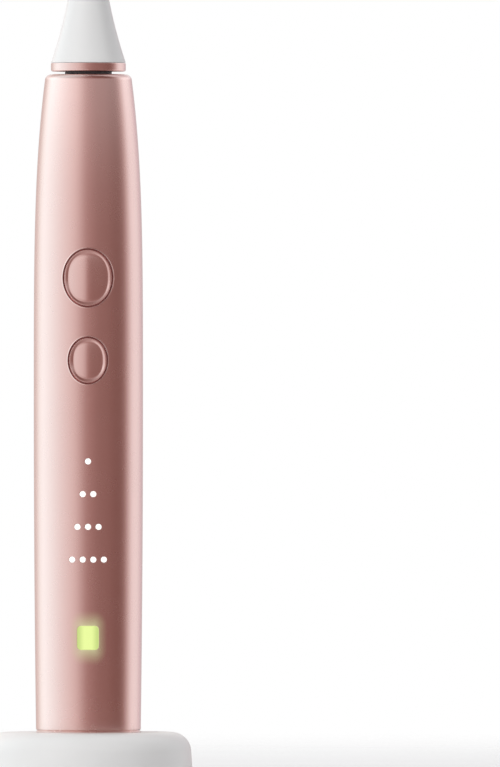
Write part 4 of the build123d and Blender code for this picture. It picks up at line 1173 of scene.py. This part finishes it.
def make_bristles():
    """Backing and tufts of fine round-ended filaments, longer towards both ends of the head."""
    draw = random.Random(SEED)
    skin = Skin()
    low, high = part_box("bristles")
    face = high.y - BACKING_T
    half_w, half_h = (high.x - low.x) / 2, (high.z - low.z) / 2
    middle = (low.z + high.z) / 2
    aims = turns(BACKING_POINTS)
    sides = [Vector((half_h * math.cos(a), 0, half_w * math.sin(a))).normalized() for a in aims]
    slants = [(side + FRONT).normalized() for side in sides]

    def outline(inset, y):
        """Ring of the backing."""
        return skin.ring([
            ((half_w - inset) * math.cos(a), y, middle + (half_h - inset) * math.sin(a)) for a in aims
        ])

    proud = face - BACKING_PROUD
    back, brink, front = outline(0, high.y), outline(0, proud + BACKING_EDGE), outline(BACKING_EDGE, proud)
    skin.fan(back, skin.spot((0, high.y, middle)), [-FRONT] * BACKING_POINTS, -FRONT, from_tip=True)
    skin.band(back, brink, sides)
    skin.band(brink, front, slants)
    skin.fan(front, skin.spot((0, proud, middle)), [FRONT] * BACKING_POINTS, FRONT)
    out = [Vector((math.cos(a), 0, math.sin(a))) for a in turns(FILAMENT_SIDES)]
    for tuft_x, tuft_z in tuft_places(half_w, half_h):
        length = BRISTLE_L + BRISTLE_WAVE * (1 - math.cos(math.pi * tuft_z / half_h)) / 2
        for x, z in filament_places():
            lean_x = x / TUFT_R * SPLAY + draw.gauss(0, STRAY)
            lean_z = z / TUFT_R * SPLAY + draw.gauss(0, STRAY)
            reach = length - abs(draw.gauss(0, RAGGED))
            root = Vector((tuft_x + x, face, middle + tuft_z + z))
            lean = Vector((lean_x, 0, lean_z))
            ring = None
            for share, shift, width in FILAMENT_STOPS:
                along = reach * share + shift
                spot = root + lean * max(0.0, along / reach) ** SPLAY_POWER + FRONT * along
                places = [spot + o * FILAMENT_R * width for o in out]
                turned = [(o + FRONT * TIP_LEAN * (1.0 - width)).normalized() for o in out]
                if ring:
                    ring, normals = skin.grow(ring, places, normals, turned)
                else:
                    ring, normals = skin.ring(places), turned
                    skin.face([(number, -FRONT) for number in ring[::-1]])
            skin.fan(ring, skin.spot(root + lean + FRONT * reach), normals, FRONT)
    skin.make("bristle_tufts", "bristles", "brush_head", "bristle_nylon", "bristle_nylon")


make_bristles()


# Floor

FLOOR_R = 0.85
FLOOR_FADE = 0.73        # width of the edge that fades out
FLOOR_POINTS = 96


def make_floor():
    """Round pale floor that fades out at its edge."""
    mesh = bpy.data.meshes.new("studio_floor")
    points = [(FLOOR_R * math.cos(a), FLOOR_R * math.sin(a), 0) for a in turns(FLOOR_POINTS)]
    mesh.from_pydata(points, [], [list(range(FLOOR_POINTS))])
    floor = bpy.data.objects.new("studio_floor", mesh)
    bpy.context.scene.collection.objects.link(floor)
    finish, tree = new_finish("floor_pale")
    here = parts_of(tree, place(tree))
    out = length_of(tree, here["X"], here["Y"])
    mesh.materials.append(dressed(
        finish,
        Base_Color=blend_colour(tree, noise(tree, 40.0), (0.83, 0.83, 0.83), (0.85, 0.85, 0.85)),
        Roughness=0.9,
        Alpha=between(tree, out, FLOOR_R - FLOOR_FADE, FLOOR_R, 1.0, 0.0, smooth=True),
    ))
    floor.visible_glossy = False


make_floor()


# Light

LAMP_AIM = Vector((0, 0, 0.1))


def add_lamp(name, spot, size, power):
    """Square soft lamp turned towards the handle."""
    light = bpy.data.lights.new(name, "AREA")
    light.energy = power
    light.size = size
    lamp = bpy.data.objects.new(name, light)
    lamp.location = spot
    lamp.rotation_euler = (LAMP_AIM - Vector(spot)).to_track_quat("-Z", "Y").to_euler()
    lamp.visible_camera = False
    lamp.visible_glossy = False
    bpy.context.scene.collection.objects.link(lamp)


add_lamp("key_lamp", spot=(-0.8, -0.7, 0.9), size=0.5, power=11.0)
add_lamp("fill_lamp", spot=(0.9, -0.6, 0.6), size=0.8, power=2.6)
add_lamp("top_lamp", spot=(0.1, 0.5, 1.1), size=0.8, power=3.0)
add_lamp("back_lamp", spot=(-0.6, 0.9, 0.6), size=0.8, power=5.0)

# Studio round the handle as stops of (degrees from the front, to the right positive; red, green, blue)
STUDIO = [
    (-180, 0.66, 0.57, 0.55), (-158, 0.72, 0.58, 0.55), (-150, 0.77, 0.64, 0.61), (-143, 0.85, 0.74, 0.71),
    (-135, 0.98, 0.94, 0.91), (-127, 1.15, 1.20, 1.19), (-112, 1.26, 1.41, 1.45), (-86, 1.12, 1.20, 1.23),
    (-55, 0.96, 0.89, 0.90), (-28, 0.82, 0.66, 0.65), (-4, 0.43, 0.24, 0.225), (22, 0.30, 0.148, 0.132),
    (40, 0.288, 0.138, 0.122), (57, 0.24, 0.107, 0.092), (70, 0.216, 0.093, 0.079),
    (82.5, 0.28, 0.14, 0.125), (93, 0.64, 0.47, 0.46), (105, 1.02, 0.95, 0.97), (114, 1.05, 0.98, 1.0),
    (130, 0.99, 0.92, 0.93), (139, 0.87, 0.74, 0.76), (146, 0.77, 0.62, 0.66), (155, 0.66, 0.54, 0.56),
    (180, 0.66, 0.57, 0.55),
]
# How bright that ring stays, and the pale veil over it, as stops of (upward part of the direction, tone)
LEVEL = [(-1.0, 1.0), (0.4, 1.0), (0.75, 0.78), (1.0, 0.7)]
VEIL = [
    (-1.0, 0.10), (-0.35, 0.08), (-0.05, 0.0), (0.10, 0.0), (0.19, 0.30), (0.3, 0.34), (0.45, 0.14),
    (0.6, 0.0), (1.0, 0.0),
]
VEIL_TINT = (0.88, 1.0, 1.04)
SOFT_LIGHT = (0.30, 0.30, 0.31)
WHITE = (1.0, 1.0, 1.0)


def ramp(tree, value, low, high, stops):
    """Colour that follows a value through stops of (value, colour)."""
    node = add(tree, "ShaderNodeValToRGB")
    elements = node.color_ramp.elements
    while len(elements) < len(stops):
        elements.new(1.0)
    for element, (where, tone) in zip(elements, stops):
        element.position = (where - low) / (high - low)
        element.color = (*tone, 1.0)
    feed(tree, between(tree, value, low, high), node.inputs[0])
    return node.outputs[0]


def backdrop(tree, colour):
    """Light of one colour from the world."""
    node = add(tree, "ShaderNodeBackground")
    dress(tree, node, Color=colour)
    return node.outputs[0]


def either(tree, share, first, second):
    """One light, or another where the share is 1."""
    node = add(tree, "ShaderNodeMixShader")
    feed_all(tree, (share, first, second), node.inputs)
    return node.outputs[0]


def light_world():
    """White to the camera, soft grey to the surfaces, and a ring of studio tones in reflections."""
    world = bpy.data.worlds.new("studio")
    world.use_nodes = True
    tree = world.node_tree
    tree.nodes.clear()
    x, y, z = parts_of(tree, add(tree, "ShaderNodeTexCoord").outputs["Generated"])
    turn = calc(tree, "ARCTAN2", x, calc(tree, "MULTIPLY", y, -1.0))
    ring = ramp(tree, turn, -math.pi, math.pi, [(math.radians(d), tone) for d, *tone in STUDIO])
    level = ramp(tree, z, -1.0, 1.0, [(height, (tone,) * 3) for height, tone in LEVEL])
    veil_stops = [(height, [tone * part for part in VEIL_TINT]) for height, tone in VEIL]
    veil = ramp(tree, z, -1.0, 1.0, veil_stops)
    dimmed = blend_colour(tree, 1.0, ring, level, "MULTIPLY")
    studio = blend_colour(tree, 1.0, dimmed, veil, "ADD")
    path = add(tree, "ShaderNodeLightPath").outputs
    lit = either(tree, path["Is Glossy Ray"], backdrop(tree, SOFT_LIGHT), backdrop(tree, studio))
    seen = calc(tree, "MAXIMUM", path["Is Camera Ray"], path["Is Transmission Ray"])
    shown = either(tree, seen, lit, backdrop(tree, WHITE))
    dress(tree, add(tree, "ShaderNodeOutputWorld"), Surface=shown)
    bpy.context.scene.world = world


light_world()

# Camera: level, far off, with a long lens
CAMERA_X = 0.0414
CAMERA_Z = 0.1043
CAMERA_FAR = 5.0
CAMERA_CLIP = 100.0
FRAME_H = 0.1965         # height of the picture at the handle
SENSOR = 36.0
eye = bpy.data.cameras.new("camera")
eye.sensor_width = SENSOR
eye.lens = SENSOR * CAMERA_FAR / FRAME_H
eye.clip_end = CAMERA_CLIP
camera = bpy.data.objects.new("camera", eye)
camera.location = (CAMERA_X, -CAMERA_FAR, CAMERA_Z)
camera.rotation_euler = (math.pi / 2, 0, 0)
bpy.context.scene.collection.objects.link(camera)
bpy.context.scene.camera = camera
bpy.context.scene.view_settings.view_transform = "Standard"
